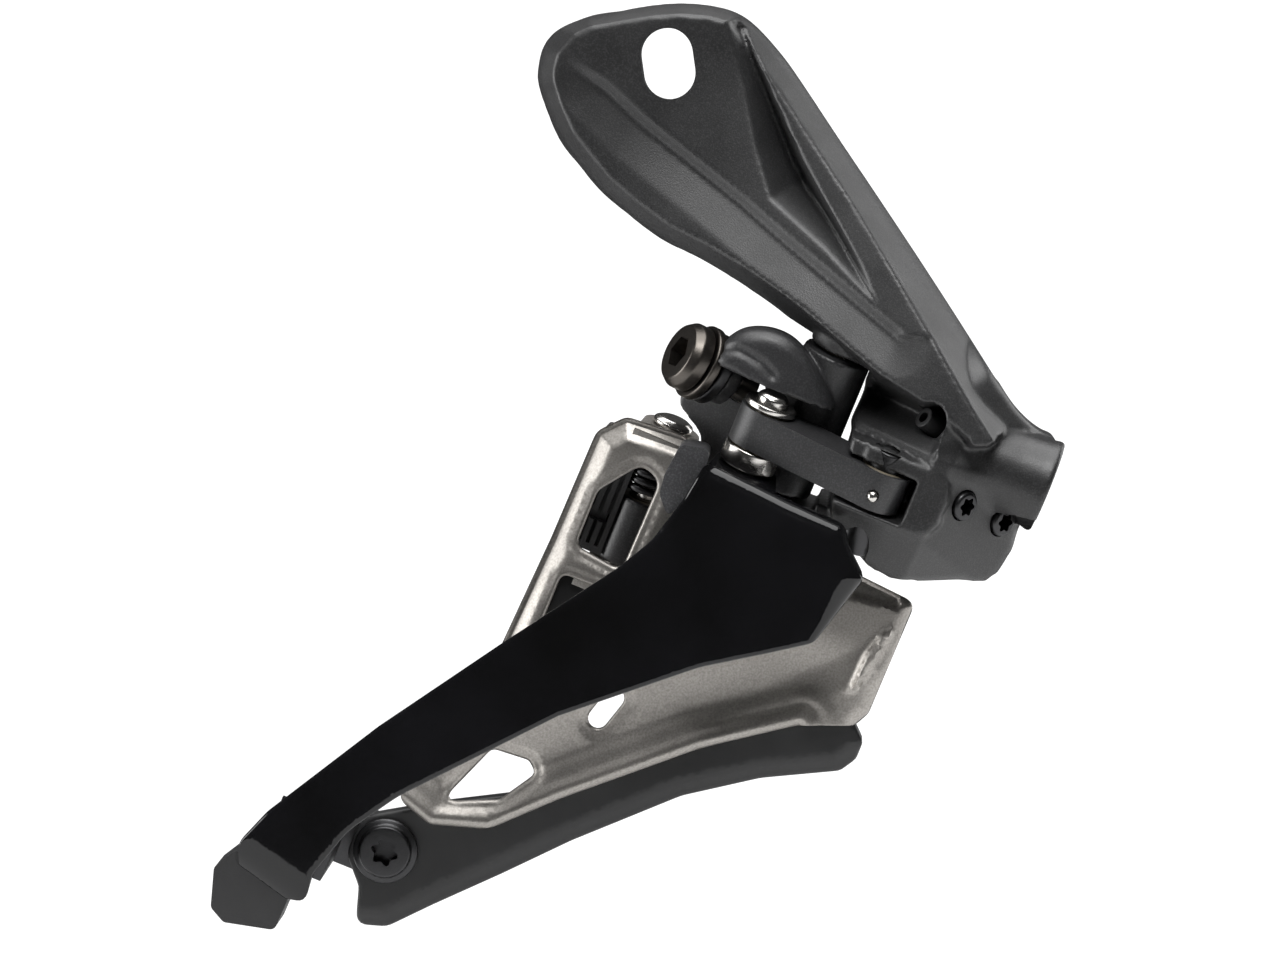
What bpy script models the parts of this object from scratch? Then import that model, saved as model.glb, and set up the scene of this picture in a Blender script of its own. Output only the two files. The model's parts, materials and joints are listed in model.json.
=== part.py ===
"""Direct-mount side-swing front derailleur for a two-ring mountain bike crankset.

A forged bracket bolts to the bike frame by its slotted arm. Two links of equal length swing on it
about parallel, nearly upright pins and carry the chain cage, so the cage travels outboard without
turning. The model is in metres, +Z up, +X to the front of the bike and +Y towards the frame. The
origin lies on the arm's mounting face. Sizes below are in millimetres.

Three frames are used: the world, the cage frame (turned TILT about Y, u forward, w up), and the
swing frame (the cage frame leaned LEAN about its own u, with its origin on the front outer pin).
"""
import math

import bmesh
import bpy
from mathutils import Matrix, Vector

MM = 0.001
SIDES = 24
RUN_GAP = 0.1           # running clearance on a radius
SEAT_GAP = 0.3          # gap between touching pieces

# Frames
TILT = math.radians(22.0)
LEAN = math.radians(12.0)
SWING_ORIGIN = Vector((43.5, -20.0, -33.3))

# Linkage, in the swing frame: both links share one length and direction
LINK_LENGTH = 17.6
REST_ANGLE = math.radians(16.0)
LINK = Vector((-LINK_LENGTH * math.cos(REST_ANGLE), LINK_LENGTH * math.sin(REST_ANGLE), 0.0))
FRONT_OUTER = Vector((0.0, 0.0, 0.0))
FRONT_INNER = Vector((-11.2, 11.5, 0.0))
REAR_OUTER = FRONT_OUTER + LINK
REAR_INNER = FRONT_INNER + LINK

# Pins and bushes, radii
OUTER_PIN_R = 2.2
INNER_PIN_R = 2.0
BUSH_WALL = 0.8

# Links, heights along the pins
OUTER_LINK_R = 3.8
LINK_HALF = 2.6         # half the outer link's thickness
INNER_LOW = -8.5        # front barrel of the inner link
INNER_HIGH = 12.0
REAR_BARREL_LOW = -28.0
REAR_BARREL_HIGH = -18.6
WEB_HALF = 1.9          # half the inner link's web thickness
WEB_INSET = 0.2         # keeps the web's ends inside the barrels' ends

# Cage lugs and collar, heights along the pins
COLLAR_LOW = -5.6
TAB = 1.8
FLANGE_HIGH = -8.0      # upper face of the inner plate's top lug

# Cage plates, distances along Y
PLATE = 1.4
OUTER_FACE = -25.0
INNER_FACE = -10.0
PAD_BACK = -4.3

# Arm, world x and z
SLOT_CENTRE = (-0.3, 8.5)
SLOT_R = 3.55
SLOT_STRAIGHT = 2.5
SLOT_LEAN = math.radians(8.0)

# Limit screws: place on the front facet (cage frame) and shank length
FACET_NORMAL = Vector((0.72, -0.694, 0.0)).normalized()
LIMIT_SCREW_R = 2.0
HIGH_SCREW_AT = Vector((55.4, -18.7, -31.6))
LOW_SCREW_AT = Vector((61.2, -12.7, -32.0))

# Cable hardware (cage frame): the cable runs from its housing socket to the opening over the outer link
CABLE_FROM = Vector((54.5, -12.5, -25.5))
CABLE_TO = Vector((45.0, -19.0, -22.5))
CABLE_DIRECTION = (CABLE_FROM - CABLE_TO).normalized()
BOLT_FACE = Vector((12.4, -12.9, -27.2))
BOLT_AXIS = Vector((-0.89, -0.44, 0.10)).normalized()
BOLT_HEAD = 2.8
BOLT_HEAD_R = 4.65
WASHER = 1.3
CLAMP = 1.6

BLACK = (0.030, 0.030, 0.032)
GLOSS = (0.006, 0.006, 0.007)
STEEL = (0.62, 0.61, 0.59)
TITANIUM = (0.50, 0.48, 0.45)
PLASTIC = (0.022, 0.022, 0.024)


def clear_scene():
    for item in list(bpy.data.objects):
        bpy.data.objects.remove(item, do_unlink=True)


def make_material(name, colour, roughness, metallic):
    material = bpy.data.materials.new(name)
    material.use_nodes = True
    shader = material.node_tree.nodes["Principled BSDF"]
    shader.inputs["Base Color"].default_value = (*colour, 1.0)
    shader.inputs["Roughness"].default_value = roughness
    shader.inputs["Metallic"].default_value = metallic
    return material


def make_empty(name, matrix, parent=None):
    empty = bpy.data.objects.new(name, None)
    bpy.context.collection.objects.link(empty)
    if parent:
        empty.parent = parent
    empty.matrix_local = matrix
    bpy.context.view_layer.update()
    return empty


def make_object(name, mesh, frame, pivot=None):
    """Links an object whose mesh is in a frame's coordinates, carried by a pivot empty."""
    item = bpy.data.objects.new(name, mesh)
    bpy.context.collection.objects.link(item)
    carrier = pivot or frame
    item.parent = carrier
    item.matrix_parent_inverse = carrier.matrix_world.inverted() @ frame.matrix_world
    return item


def finish_mesh(name, bm):
    """Turns a bmesh in millimetres into a mesh in metres with its faces pointing out."""
    bm.normal_update()
    bmesh.ops.triangulate(bm, faces=bm.faces, ngon_method="EAR_CLIP")
    bmesh.ops.recalc_face_normals(bm, faces=bm.faces)
    bmesh.ops.scale(bm, vec=(MM, MM, MM), verts=bm.verts)
    mesh = bpy.data.meshes.new(name)
    bm.to_mesh(mesh)
    bm.free()
    mesh.shade_smooth()
    mesh.set_sharp_from_angle(angle=math.radians(35.0))
    return mesh


def piece(name, mesh, frame, look, pivot=None):
    item = make_object(name, mesh, frame, pivot)
    item.data.materials.append(make_material(name, *look))
    return item


def helper(name, mesh, frame):
    """An operand of a Boolean, left out of the finished part."""
    item = make_object(name, mesh, frame)
    item.hide_render = True
    item.display_type = "WIRE"
    return item


def combine(item, operand, operation, solver="EXACT"):
    modifier = item.modifiers.new(operation.lower() + "_" + operand.name, "BOOLEAN")
    modifier.operation = operation
    modifier.object = operand
    modifier.solver = solver


def cut(item, operand, solver="EXACT"):
    combine(item, operand, "DIFFERENCE", solver)


def join(item, operand, solver="EXACT"):
    combine(item, operand, "UNION", solver)


def rounded(corners, steps=4):
    """Corners (x, y, radius) of an outline, each turned into an arc that touches both sides."""
    points = []
    count = len(corners)
    for index, (x, y, radius) in enumerate(corners):
        here = Vector((x, y))
        before = Vector(corners[index - 1][:2]) - here
        after = Vector(corners[(index + 1) % count][:2]) - here
        angle = before.angle(after)
        if radius <= 0.0 or angle > math.radians(179.0):
            points.append(here)
            continue
        reach = radius / math.tan(angle / 2.0)
        reach = min(reach, 0.49 * before.length, 0.49 * after.length)
        start = here + before.normalized() * reach
        end = here + after.normalized() * reach
        for step in range(steps + 1):
            t = step / steps
            points.append(start * (1 - t) ** 2 + here * 2 * t * (1 - t) + end * t ** 2)
    return points


def capsule(start, end, radius, steps=8):
    """Outline of a slot with round ends between two centres."""
    start = Vector(start)
    end = Vector(end)
    along = (end - start).normalized()
    across = Vector((-along.y, along.x))
    points = []
    for centre, sign in ((end, 1.0), (start, -1.0)):
        for step in range(steps + 1):
            turn = math.pi * step / steps
            points.append(centre + radius * sign * (math.sin(turn) * along - math.cos(turn) * across))
    return points


def prism(name, outline, low, high, axis="Y"):
    """Extrudes a 2-D outline: (x, z) along Y, or (x, y) along Z."""
    bm = bmesh.new()
    rings = []
    for depth in (low, high):
        if axis == "Y":
            rings.append([bm.verts.new((p[0], depth, p[1])) for p in outline])
        else:
            rings.append([bm.verts.new((p[0], p[1], depth)) for p in outline])
    count = len(outline)
    for index in range(count):
        after = (index + 1) % count
        bm.faces.new((rings[0][index], rings[0][after], rings[1][after], rings[1][index]))
    bm.faces.new(rings[0])
    bm.faces.new(list(reversed(rings[1])))
    return finish_mesh(name, bm)


def turned(name, profile, at=(0, 0, 0), axis=(0, 0, 1), sides=SIDES):
    """A solid of revolution: profile (radius, height), closed on the axis or into a ring."""
    bm = bmesh.new()
    ring_shape = all(radius > 0.0 for radius, _ in profile)
    rows = []
    for radius, height in profile:
        if radius == 0.0:
            rows.append([bm.verts.new((0, 0, height))])
            continue
        turns = [2 * math.pi * side / sides for side in range(sides)]
        rows.append([bm.verts.new((radius * math.cos(t), radius * math.sin(t), height)) for t in turns])
    pairs = list(zip(rows, rows[1:]))
    if ring_shape:
        pairs.append((rows[-1], rows[0]))
    for first, second in pairs:
        skin(bm, first, second)
    turn = Vector((0, 0, 1)).rotation_difference(Vector(axis)).to_matrix().to_4x4()
    bmesh.ops.transform(bm, matrix=Matrix.Translation(at) @ turn, verts=bm.verts)
    return finish_mesh(name, bm)


def skin(bm, first, second):
    """Faces between two rows of a turned solid, where a row may be one point."""
    count = max(len(first), len(second))
    for index in range(count):
        after = (index + 1) % count
        if len(first) == 1:
            bm.faces.new((first[0], second[after], second[index]))
        elif len(second) == 1:
            bm.faces.new((first[index], first[after], second[0]))
        else:
            bm.faces.new((first[index], first[after], second[after], second[index]))


def rod(name, radius, low, high, at=(0, 0, 0), axis=(0, 0, 1), sides=SIDES):
    return turned(name, [(0, low), (radius, low), (radius, high), (0, high)], at, axis, sides)


def sleeve(name, inner, outer, low, high, at=(0, 0, 0), axis=(0, 0, 1)):
    profile = [(inner, low), (outer, low), (outer, high), (inner, high)]
    return turned(name, profile, at, axis)


def hull(name, points):
    bm = bmesh.new()
    for point in points:
        bm.verts.new(point)
    bmesh.ops.convex_hull(bm, input=bm.verts)
    return finish_mesh(name, bm)


def box(name, low, high):
    corners = [(x, y, z) for x in (low[0], high[0]) for y in (low[1], high[1]) for z in (low[2], high[2])]
    return hull(name, corners)


# ---------------------------------------------------------------- bracket

# Arm stations from tip to body: rear edge (x, z), front edge (x, z), inboard y, outboard y
ARM_STATIONS = (
    ((-14.5, 13.6), (8.5, 15.6), 0.0, -6.8),
    ((-17.9, 8.5), (13.5, 11.3), 0.0, -7.2),
    ((-17.5, 4.5), (17.4, 6.3), 0.0, -7.5),
    ((-15.0, -1.8), (22.8, -1.8), 0.0, -8.0),
    ((-9.6, -8.5), (28.2, -9.8), -0.5, -9.5),
    ((-1.4, -15.0), (33.6, -17.9), -1.0, -12.5),
    ((9.4, -20.8), (39.0, -26.2), -1.5, -17.0),
    ((18.5, -28.5), (44.4, -34.7), -2.0, -21.0),
    ((33.0, -35.5), (48.5, -40.3), -2.0, -24.5),
)
ARM_CROWN = 1.3         # rise of the tip's end between its corners


def arm_mesh():
    """Lofts the arm, with a wide bevel on its front edge and a narrow one on its rear edge."""
    bm = bmesh.new()
    rings = []
    for number, (rear, front, inboard, outboard) in enumerate(ARM_STATIONS):
        rear = Vector(rear)
        span = Vector(front) - rear
        crown = ARM_CROWN if number == 0 else 0.0
        ring = []
        shares = ((0.0, 0.0), (0.5, 0.0), (1.0, 0.0), (1.0, 0.35), (0.8, 1.0), (0.5, 1.0), (0.1, 1.0), (0.0, 0.6))
        for share, depth in shares:
            lift = crown * (1.0 - (2.0 * share - 1.0) ** 2)
            x, z = rear + share * span
            ring.append(bm.verts.new((x, inboard + depth * (outboard - inboard), z + lift)))
        rings.append(ring)
    for first, second in zip(rings, rings[1:]):
        skin(bm, first, second)
    bm.faces.new(rings[0])
    bm.faces.new(list(reversed(rings[-1])))
    return finish_mesh("bracket", bm)


def body_mesh():
    """The block at the arm's foot: prism along w whose top and bottom fall to the front."""
    plan = ((37.2, -2.6), (64.5, -2.6), (64.5, -9.3), (51.2, -23.0), (39.2, -23.0), (37.2, -18.0))
    bm = bmesh.new()
    rings = []
    for top in (False, True):
        ring = []
        for u, v in plan:
            forward = max(0.0, u - 47.0)
            w = -16.0 - 0.17 * forward if top else -44.4 + 0.2 * forward
            ring.append(bm.verts.new((u, v, w)))
        rings.append(ring)
    skin(bm, rings[0], rings[1])
    bm.faces.new(rings[0])
    bm.faces.new(list(reversed(rings[1])))
    return finish_mesh("join_body", bm)


def pivot_lug(name, low, high):
    """A flat ear of the bracket round the front inner pin."""
    ear = 4.2
    x, y, _ = FRONT_INNER
    outline = [Vector((x + ear * math.cos(a), y + ear * math.sin(a)))
               for a in (math.radians(90 + 15 * step) for step in range(13))]
    outline += [Vector((-4.0, y - ear)), Vector((-4.0, y + ear))]
    return prism(name, outline, low, high, axis="Z")


def make_bracket(world, cage, swing):
    bracket = piece("bracket", arm_mesh(), world, (BLACK, 0.45, 0.0))
    join(bracket, helper("join_body", body_mesh(), cage))
    stop = turned("join_stop", [(0, 56), (6.0, 56), (6.2, 62), (7.0, 65.0), (0, 65.0)],
                  (0, -12.5, -25.5), (1, 0, 0))
    join(bracket, helper("join_stop", stop, cage))
    for name, low, high in (("lug_low", INNER_LOW - 3.4, INNER_LOW + 1.0),
                            ("lug_high", INNER_HIGH - 1.0, INNER_HIGH + 3.0)):
        join(bracket, helper(name, pivot_lug(name, low, high), swing))
    # The links' room: everything beside and below the arm that they sweep
    cut(bracket, helper("cut_inner_room", box("cut_inner_room", (-45, -30, INNER_LOW - 0.4),
                                              (-6.3, 30, INNER_HIGH + 0.4)), swing))
    cut(bracket, helper("cut_outer_room", box("cut_outer_room", (-45, -30, -LINK_HALF - 0.5),
                                              (4.7, 7.0, LINK_HALF + 0.5)), swing))
    # Bores
    bores = (
        ("bore_outer", rod("bore_outer", OUTER_PIN_R + RUN_GAP, -30, 9.3, FRONT_OUTER), swing),
        ("bore_inner", rod("bore_inner", INNER_PIN_R + RUN_GAP, -30, INNER_HIGH + 2.2, FRONT_INNER), swing),
        ("bore_high", rod("bore_high", LIMIT_SCREW_R + RUN_GAP, -8.0, 6, HIGH_SCREW_AT, FACET_NORMAL), cage),
        ("bore_low", rod("bore_low", LIMIT_SCREW_R + RUN_GAP, -9.5, 6, LOW_SCREW_AT, FACET_NORMAL), cage),
        ("bore_socket", rod("bore_socket", 3.0, 54, 70, (0, -12.5, -25.5), (1, 0, 0)), cage),
    )
    for name, mesh, frame in bores:
        cut(bracket, helper(name, mesh, frame))
    slot = capsule(*slot_centres(), SLOT_R)
    cut(bracket, helper("cut_slot", prism("cut_slot", slot, -20, 10), world))
    pocket = hull("cut_pocket", [(8.8, -30, 12.5), (29, -30, -25), (13, -30, -10),
                                 (10.5, -4.6, 7.5), (23.0, -10.5, -14.5), (14.5, -6.5, -8)])
    cut(bracket, helper("cut_pocket", pocket, world))
    cut(bracket, helper("cut_cable", rod("cut_cable", 1.6, 0, 30, CABLE_TO, CABLE_DIRECTION), cage))
    return bracket


def slot_centres():
    half = SLOT_STRAIGHT / 2.0
    lean = Vector((-math.sin(SLOT_LEAN), math.cos(SLOT_LEAN)))
    centre = Vector(SLOT_CENTRE)
    return centre - half * lean, centre + half * lean


def make_bracket_hardware(cage, swing):
    for name, at, length in (("high_limit_screw", HIGH_SCREW_AT, 7.5), ("low_limit_screw", LOW_SCREW_AT, 9.0)):
        screw = piece(name, rod(name, LIMIT_SCREW_R, -length, 0.2, at, FACET_NORMAL), cage,
                      ((0.05, 0.05, 0.052), 0.35, 0.8), make_empty(name + "_axis", pose(cage, at), cage))
        socket = rod("socket_" + name, 1.2, -2.0, 5, at, FACET_NORMAL, sides=6)
        cut(screw, helper("socket_" + name, socket, cage))
    piece("cable_liner", sleeve("cable_liner", 0.7, 1.4, 2.0, 9.0, CABLE_TO, CABLE_DIRECTION), cage,
          (BLACK, 0.4, 0.0))
    pin = [(0, -9.6), (OUTER_PIN_R, -9.6), (OUTER_PIN_R, 8.9), (0, 8.9)]
    piece("front_outer_pin", turned("front_outer_pin", pin, FRONT_OUTER), swing, (STEEL, 0.3, 1.0))
    low = INNER_LOW - 4.0
    pin = [(0, low), (INNER_PIN_R, low), (INNER_PIN_R, INNER_HIGH + 1.8), (0, INNER_HIGH + 1.8)]
    piece("front_inner_pin", turned("front_inner_pin", pin, FRONT_INNER), swing, (STEEL, 0.3, 1.0))


def pose(frame, at):
    """Local matrix of an empty at a point of a frame, given in millimetres."""
    return Matrix.Translation(Vector(at) * MM)


# ---------------------------------------------------------------- links

def make_outer_link(swing, pivot):
    low, high = -LINK_HALF, LINK_HALF
    outline = capsule(FRONT_OUTER.xy, REAR_OUTER.xy, OUTER_LINK_R)
    link = piece("outer_link", prism("outer_link", outline, low, high, "Z"), swing, (BLACK, 0.45, 0.0), pivot)
    bore = OUTER_PIN_R + RUN_GAP + BUSH_WALL + RUN_GAP
    for name, centre in (("front", FRONT_OUTER), ("rear", REAR_OUTER)):
        hole = rod("cut_outer_" + name, bore, -9, 9, centre)
        cut(link, helper("cut_outer_" + name, hole, swing))
        bush = "outer_link_" + name + "_bush"
        ring = sleeve(bush, OUTER_PIN_R + RUN_GAP, bore - RUN_GAP, low, high, centre)
        piece(bush, ring, swing, ((0.12, 0.10, 0.07), 0.5, 0.3), pivot)
    at = FRONT_OUTER + LINK * 0.02 + Vector((0.2, -3.9, -0.6))
    # The dowel stops short of the bush, so its hole is blind
    cut(link, helper("cut_dowel", rod("cut_dowel", 0.85, -3, 0.5, at, (0, 1, 0), 16), swing))
    piece("link_dowel", rod("link_dowel", 0.75, -0.5, 0.4, at, (0, 1, 0), 16), swing, (STEEL, 0.25, 1.0), pivot)


def web_mesh():
    """The inner link's web: outline (along the link, height), extruded across the link."""
    reach = LINK_LENGTH
    front_low = INNER_LOW + WEB_INSET
    rear_low = REAR_BARREL_LOW + WEB_INSET
    rear_high = REAR_BARREL_HIGH - WEB_INSET
    outline = rounded([
        (0.0, INNER_HIGH - 2.0, 0), (6.0, 8.0, 2), (15.5, 7.0, 2), (18.0, 1.0, 2), (17.5, -4.0, 2),
        (13.0, -6.4, 2), (11.6, -10.0, 2), (11.8, rear_high, 1), (reach, rear_high, 0), (reach, rear_low, 0),
        (11.0, rear_low, 3), (6.0, -20.0, 4), (4.6, front_low - 4.5, 2), (4.6, front_low, 0),
        (0.0, front_low, 0)])
    mesh = prism("inner_link", outline, -WEB_HALF, WEB_HALF)
    turn = Matrix.Rotation(math.pi - REST_ANGLE, 4, "Z")
    mesh.transform(Matrix.Translation(FRONT_INNER * MM) @ turn)
    return mesh


def lobe_outline():
    """Plan of the cable arm over the outer link, from the front barrel to the cable bolt."""
    return rounded([(-9.0, 14.5, 2), (-8.6, 8.5, 3), (-15.0, 4.6, 4), (-24.0, 4.4, 2), (-26.4, 9.0, 2),
                    (-25.0, 15.5, 2)])


LINK_SOLVER = "MANIFOLD"    # exact fails on this link


def make_inner_link(cage, swing, pivot):
    link = piece("inner_link", web_mesh(), swing, (BLACK, 0.45, 0.0), pivot)
    barrels = (
        ("join_front_barrel", rod("join_front_barrel", 3.75, INNER_LOW, INNER_HIGH, FRONT_INNER), swing),
        ("join_rear_barrel", rod("join_rear_barrel", 3.7, REAR_BARREL_LOW, REAR_BARREL_HIGH, REAR_INNER), swing),
        ("join_lobe", prism("join_lobe", lobe_outline(), 5.6, INNER_HIGH - WEB_INSET, "Z"), swing),
        ("join_boss", rod("join_boss", 4.0, -8.6, 1 - bolt_stack(), BOLT_FACE, BOLT_AXIS), cage),
    )
    for name, mesh, frame in barrels:
        join(link, helper(name, mesh, frame), LINK_SOLVER)
    seat = rod("cut_seat", 6.0, -bolt_stack(), 12, BOLT_FACE, BOLT_AXIS)
    cut(link, helper("cut_seat", seat, cage), LINK_SOLVER)
    bore = INNER_PIN_R + RUN_GAP + BUSH_WALL + RUN_GAP
    stretches = (("front", FRONT_INNER, INNER_LOW, INNER_HIGH),
                 ("rear", REAR_INNER, REAR_BARREL_LOW, REAR_BARREL_HIGH))
    for name, centre, low, high in stretches:
        hole = rod("cut_inner_" + name, bore, low - 0.5, high + 0.5, centre)
        cut(link, helper("cut_inner_" + name, hole, swing), LINK_SOLVER)
        bush = "inner_link_" + name + "_bush"
        ring = sleeve(bush, INNER_PIN_R + RUN_GAP, bore - RUN_GAP, low, high, centre)
        piece(bush, ring, swing, ((0.12, 0.10, 0.07), 0.5, 0.3), pivot)
    thread = rod("cut_bolt", 2.6, -16.0, 0, BOLT_FACE, BOLT_AXIS)
    cut(link, helper("cut_bolt", thread, cage), LINK_SOLVER)


def bolt_stack():
    """Length from the bolt head's face to the boss that it clamps on."""
    return BOLT_HEAD + WASHER + CLAMP + 3 * SEAT_GAP


def make_cable_bolt(cage, pivot):
    stack = bolt_stack()
    profile = [(0, -stack - 5.5), (2.4, -stack - 5.5), (2.4, -BOLT_HEAD), (BOLT_HEAD_R, -BOLT_HEAD),
               (BOLT_HEAD_R, -0.8), (BOLT_HEAD_R - 0.8, 0.0), (0, 0.0)]
    bolt = piece("cable_bolt", turned("cable_bolt", profile, BOLT_FACE, BOLT_AXIS), cage,
                 ((0.035, 0.031, 0.028), 0.32, 0.9), pivot)
    socket = rod("socket_bolt", 2.3, -2.2, 5, BOLT_FACE, BOLT_AXIS, sides=6)
    cut(bolt, helper("socket_bolt", socket, cage))
    start = -BOLT_HEAD - SEAT_GAP
    ring = sleeve("cable_washer", 2.6, 5.2, start - WASHER, start, BOLT_FACE, BOLT_AXIS)
    piece("cable_washer", ring, cage, ((0.035, 0.031, 0.028), 0.35, 0.9), pivot)
    start -= WASHER + SEAT_GAP
    piece("cable_clamp", sleeve("cable_clamp", 2.6, 4.9, start - CLAMP, start, BOLT_FACE, BOLT_AXIS), cage,
          ((0.02, 0.02, 0.02), 0.45, 0.6), pivot)


# ---------------------------------------------------------------- cage

def tab_outline(centre, radius, edge, half):
    """A lug round a pin that runs across to a plate: half circle, then straight to the edge."""
    points = []
    side = 1.0 if edge > centre.y else -1.0
    for step in range(13):
        turn = math.pi * step / 12
        points.append(Vector((centre.x + radius * math.cos(turn), centre.y - side * radius * math.sin(turn))))
    points.append(Vector((centre.x - half, edge)))
    points.append(Vector((centre.x + half, edge)))
    return points


def swing_y(v, height):
    """Swing-frame y of a cage-frame distance v, at a height along the pins."""
    return (v - SWING_ORIGIN.y + height * math.sin(LEAN)) / math.cos(LEAN)


def make_outer_plate(cage, swing, pivot):
    outline = rounded([
        (21.3, -38.8, 1), (33.5, -39.4, 1), (41.4, -39.6, 1.5), (43.2, -42.2, 2), (46.6, -45.2, 2),
        (43.5, -55.5, 3), (38.6, -58.9, 6), (30.7, -64.2, 20), (15.9, -77.2, 0), (0.2, -95.2, 20),
        (-4.2, -102.0, 10), (-6.4, -109.0, 3), (-6.0, -113.0, 1.5), (-14.5, -115.3, 2), (-17.2, -109.0, 3),
        (-15.1, -103.6, 6), (-5.7, -87.6, 0), (5.1, -71.5, 0), (15.9, -55.9, 8), (18.6, -51.0, 8), (20.5, -44.0, 4)])
    plate = piece("outer_plate", prism("outer_plate", outline, OUTER_FACE, OUTER_FACE + PLATE), cage,
                  (GLOSS, 0.12, 0.0), pivot)
    high = COLLAR_LOW - SEAT_GAP
    outline = tab_outline(REAR_OUTER, 4.2, swing_y(OUTER_FACE + PLATE / 2.0, high), 5.0)
    tab = prism("join_outer_tab", outline, high - TAB, high, "Z")
    join(plate, helper("join_outer_tab", tab, swing))
    hole = rod("cut_outer_tab", OUTER_PIN_R + RUN_GAP, -12, 2, REAR_OUTER)
    cut(plate, helper("cut_outer_tab", hole, swing))


def make_inner_plate(cage, swing, pivot):
    outline = rounded([
        (6.2, -41.5, 2.5), (9.2, -38.2, 2), (17.5, -37.6, 2), (22.5, -41.5, 3), (33.0, -45.8, 5), (46.5, -46.2, 2),
        (54.6, -46.8, 1.5), (54.4, -63.0, 2), (53.3, -65.2, 1.5), (46.4, -67.8, 10), (35.1, -75.9, 30),
        (20.2, -89.4, 20), (12.9, -96.8, 8), (5.1, -99.3, 4), (-0.5, -97.5, 2.5), (1.5, -90.0, 5), (5.1, -73.0, 0),
        (5.9, -57.0, 0)])
    plate = piece("inner_plate", prism("inner_plate", outline, INNER_FACE, INNER_FACE + PLATE), cage,
                  (TITANIUM, 0.35, 1.0), pivot)
    windows = (
        ("window_upper", rounded([(9.4, -56.8, 1.2), (16.3, -57.6, 1.2), (16.6, -44.5, 2), (13.5, -43.4, 2),
                                  (9.4, -48.8, 2)])),
        ("window_lower", rounded([(9.1, -61.0, 1.2), (16.5, -61.0, 1.2), (16.5, -64.5, 1.2),
                                  (9.1, -73.0, 1.2)])),
        ("window_slot", capsule((21.0, -77.4), (21.8, -74.2), 1.8)),
        ("window_tail", rounded([(5.5, -95.8, 0.8), (12.7, -92.6, 1), (15.9, -87.5, 0.8), (14.4, -86.2, 0.8),
                                 (9.2, -86.6, 0.8)])),
    )
    for name, shape in windows:
        cut(plate, helper(name, prism(name, shape, -20, 0), cage))
    for name, high in (("join_upper_tab", FLANGE_HIGH), ("join_lower_tab", REAR_BARREL_LOW - 0.4)):
        edge = swing_y(INNER_FACE + PLATE / 2.0, high - TAB / 2.0)
        tab = prism(name, tab_outline(REAR_INNER, 4.0, edge, 4.6), high - TAB, high, "Z")
        join(plate, helper(name, tab, swing))
    hole = rod("cut_inner_tab", INNER_PIN_R + RUN_GAP, -40, 2, REAR_INNER)
    cut(plate, helper("cut_inner_tab", hole, swing))


def make_rear_pins(swing, pivot):
    low = COLLAR_LOW - SEAT_GAP - TAB
    profile = [(0, low - 0.9), (3.0, low - 0.9), (3.0, low - 0.3), (OUTER_PIN_R, low - 0.3), (OUTER_PIN_R, 4.6),
               (1.8, 5.0), (0, 5.0)]
    piece("rear_outer_pin", turned("rear_outer_pin", profile, REAR_OUTER), swing, (STEEL, 0.25, 1.0), pivot)
    ring = sleeve("rear_outer_washer", OUTER_PIN_R + RUN_GAP, 3.6, LINK_HALF + 0.3, LINK_HALF + 1.1, REAR_OUTER)
    piece("rear_outer_washer", ring, swing, (STEEL, 0.25, 1.0), pivot)
    ring = sleeve("rear_outer_collar", OUTER_PIN_R + RUN_GAP, 3.9, COLLAR_LOW, -LINK_HALF - 0.3, REAR_OUTER)
    piece("rear_outer_collar", ring, swing, (STEEL, 0.25, 1.0), pivot)
    low = REAR_BARREL_LOW - 0.4 - TAB
    top = FLANGE_HIGH + 0.3
    profile = [(0, low - 0.8), (INNER_PIN_R, low - 0.8), (INNER_PIN_R, top), (2.8, top), (2.8, top + 0.7),
               (2.1, top + 1.1), (0, top + 1.1)]
    piece("rear_inner_pin", turned("rear_inner_pin", profile, REAR_INNER), swing, (STEEL, 0.25, 1.0), pivot)


def make_return_spring(swing, pivot):
    """Torsion coil round the rear inner pin, between the cage's top lug and the inner link."""
    turns, mean, wire, sides = 6, 3.2, 0.5, 6
    low, high = REAR_BARREL_HIGH + 0.9, FLANGE_HIGH - TAB - 0.9
    steps = 16 * turns
    bm = bmesh.new()
    rings = []
    for step in range(steps + 1):
        t = step / steps
        turn = 2 * math.pi * turns * t
        outward = Vector((math.cos(turn), math.sin(turn), 0))
        centre = REAR_INNER + outward * mean + Vector((0, 0, low + (high - low) * t))
        angles = [2 * math.pi * side / sides for side in range(sides)]
        rings.append([bm.verts.new(centre + wire * (outward * math.cos(a) + Vector((0, 0, math.sin(a)))))
                      for a in angles])
    for first, second in zip(rings, rings[1:]):
        skin(bm, first, second)
    bm.faces.new(rings[0])
    bm.faces.new(list(reversed(rings[-1])))
    piece("return_spring", finish_mesh("return_spring", bm), swing, (BLACK, 0.4, 0.8), pivot)


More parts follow.
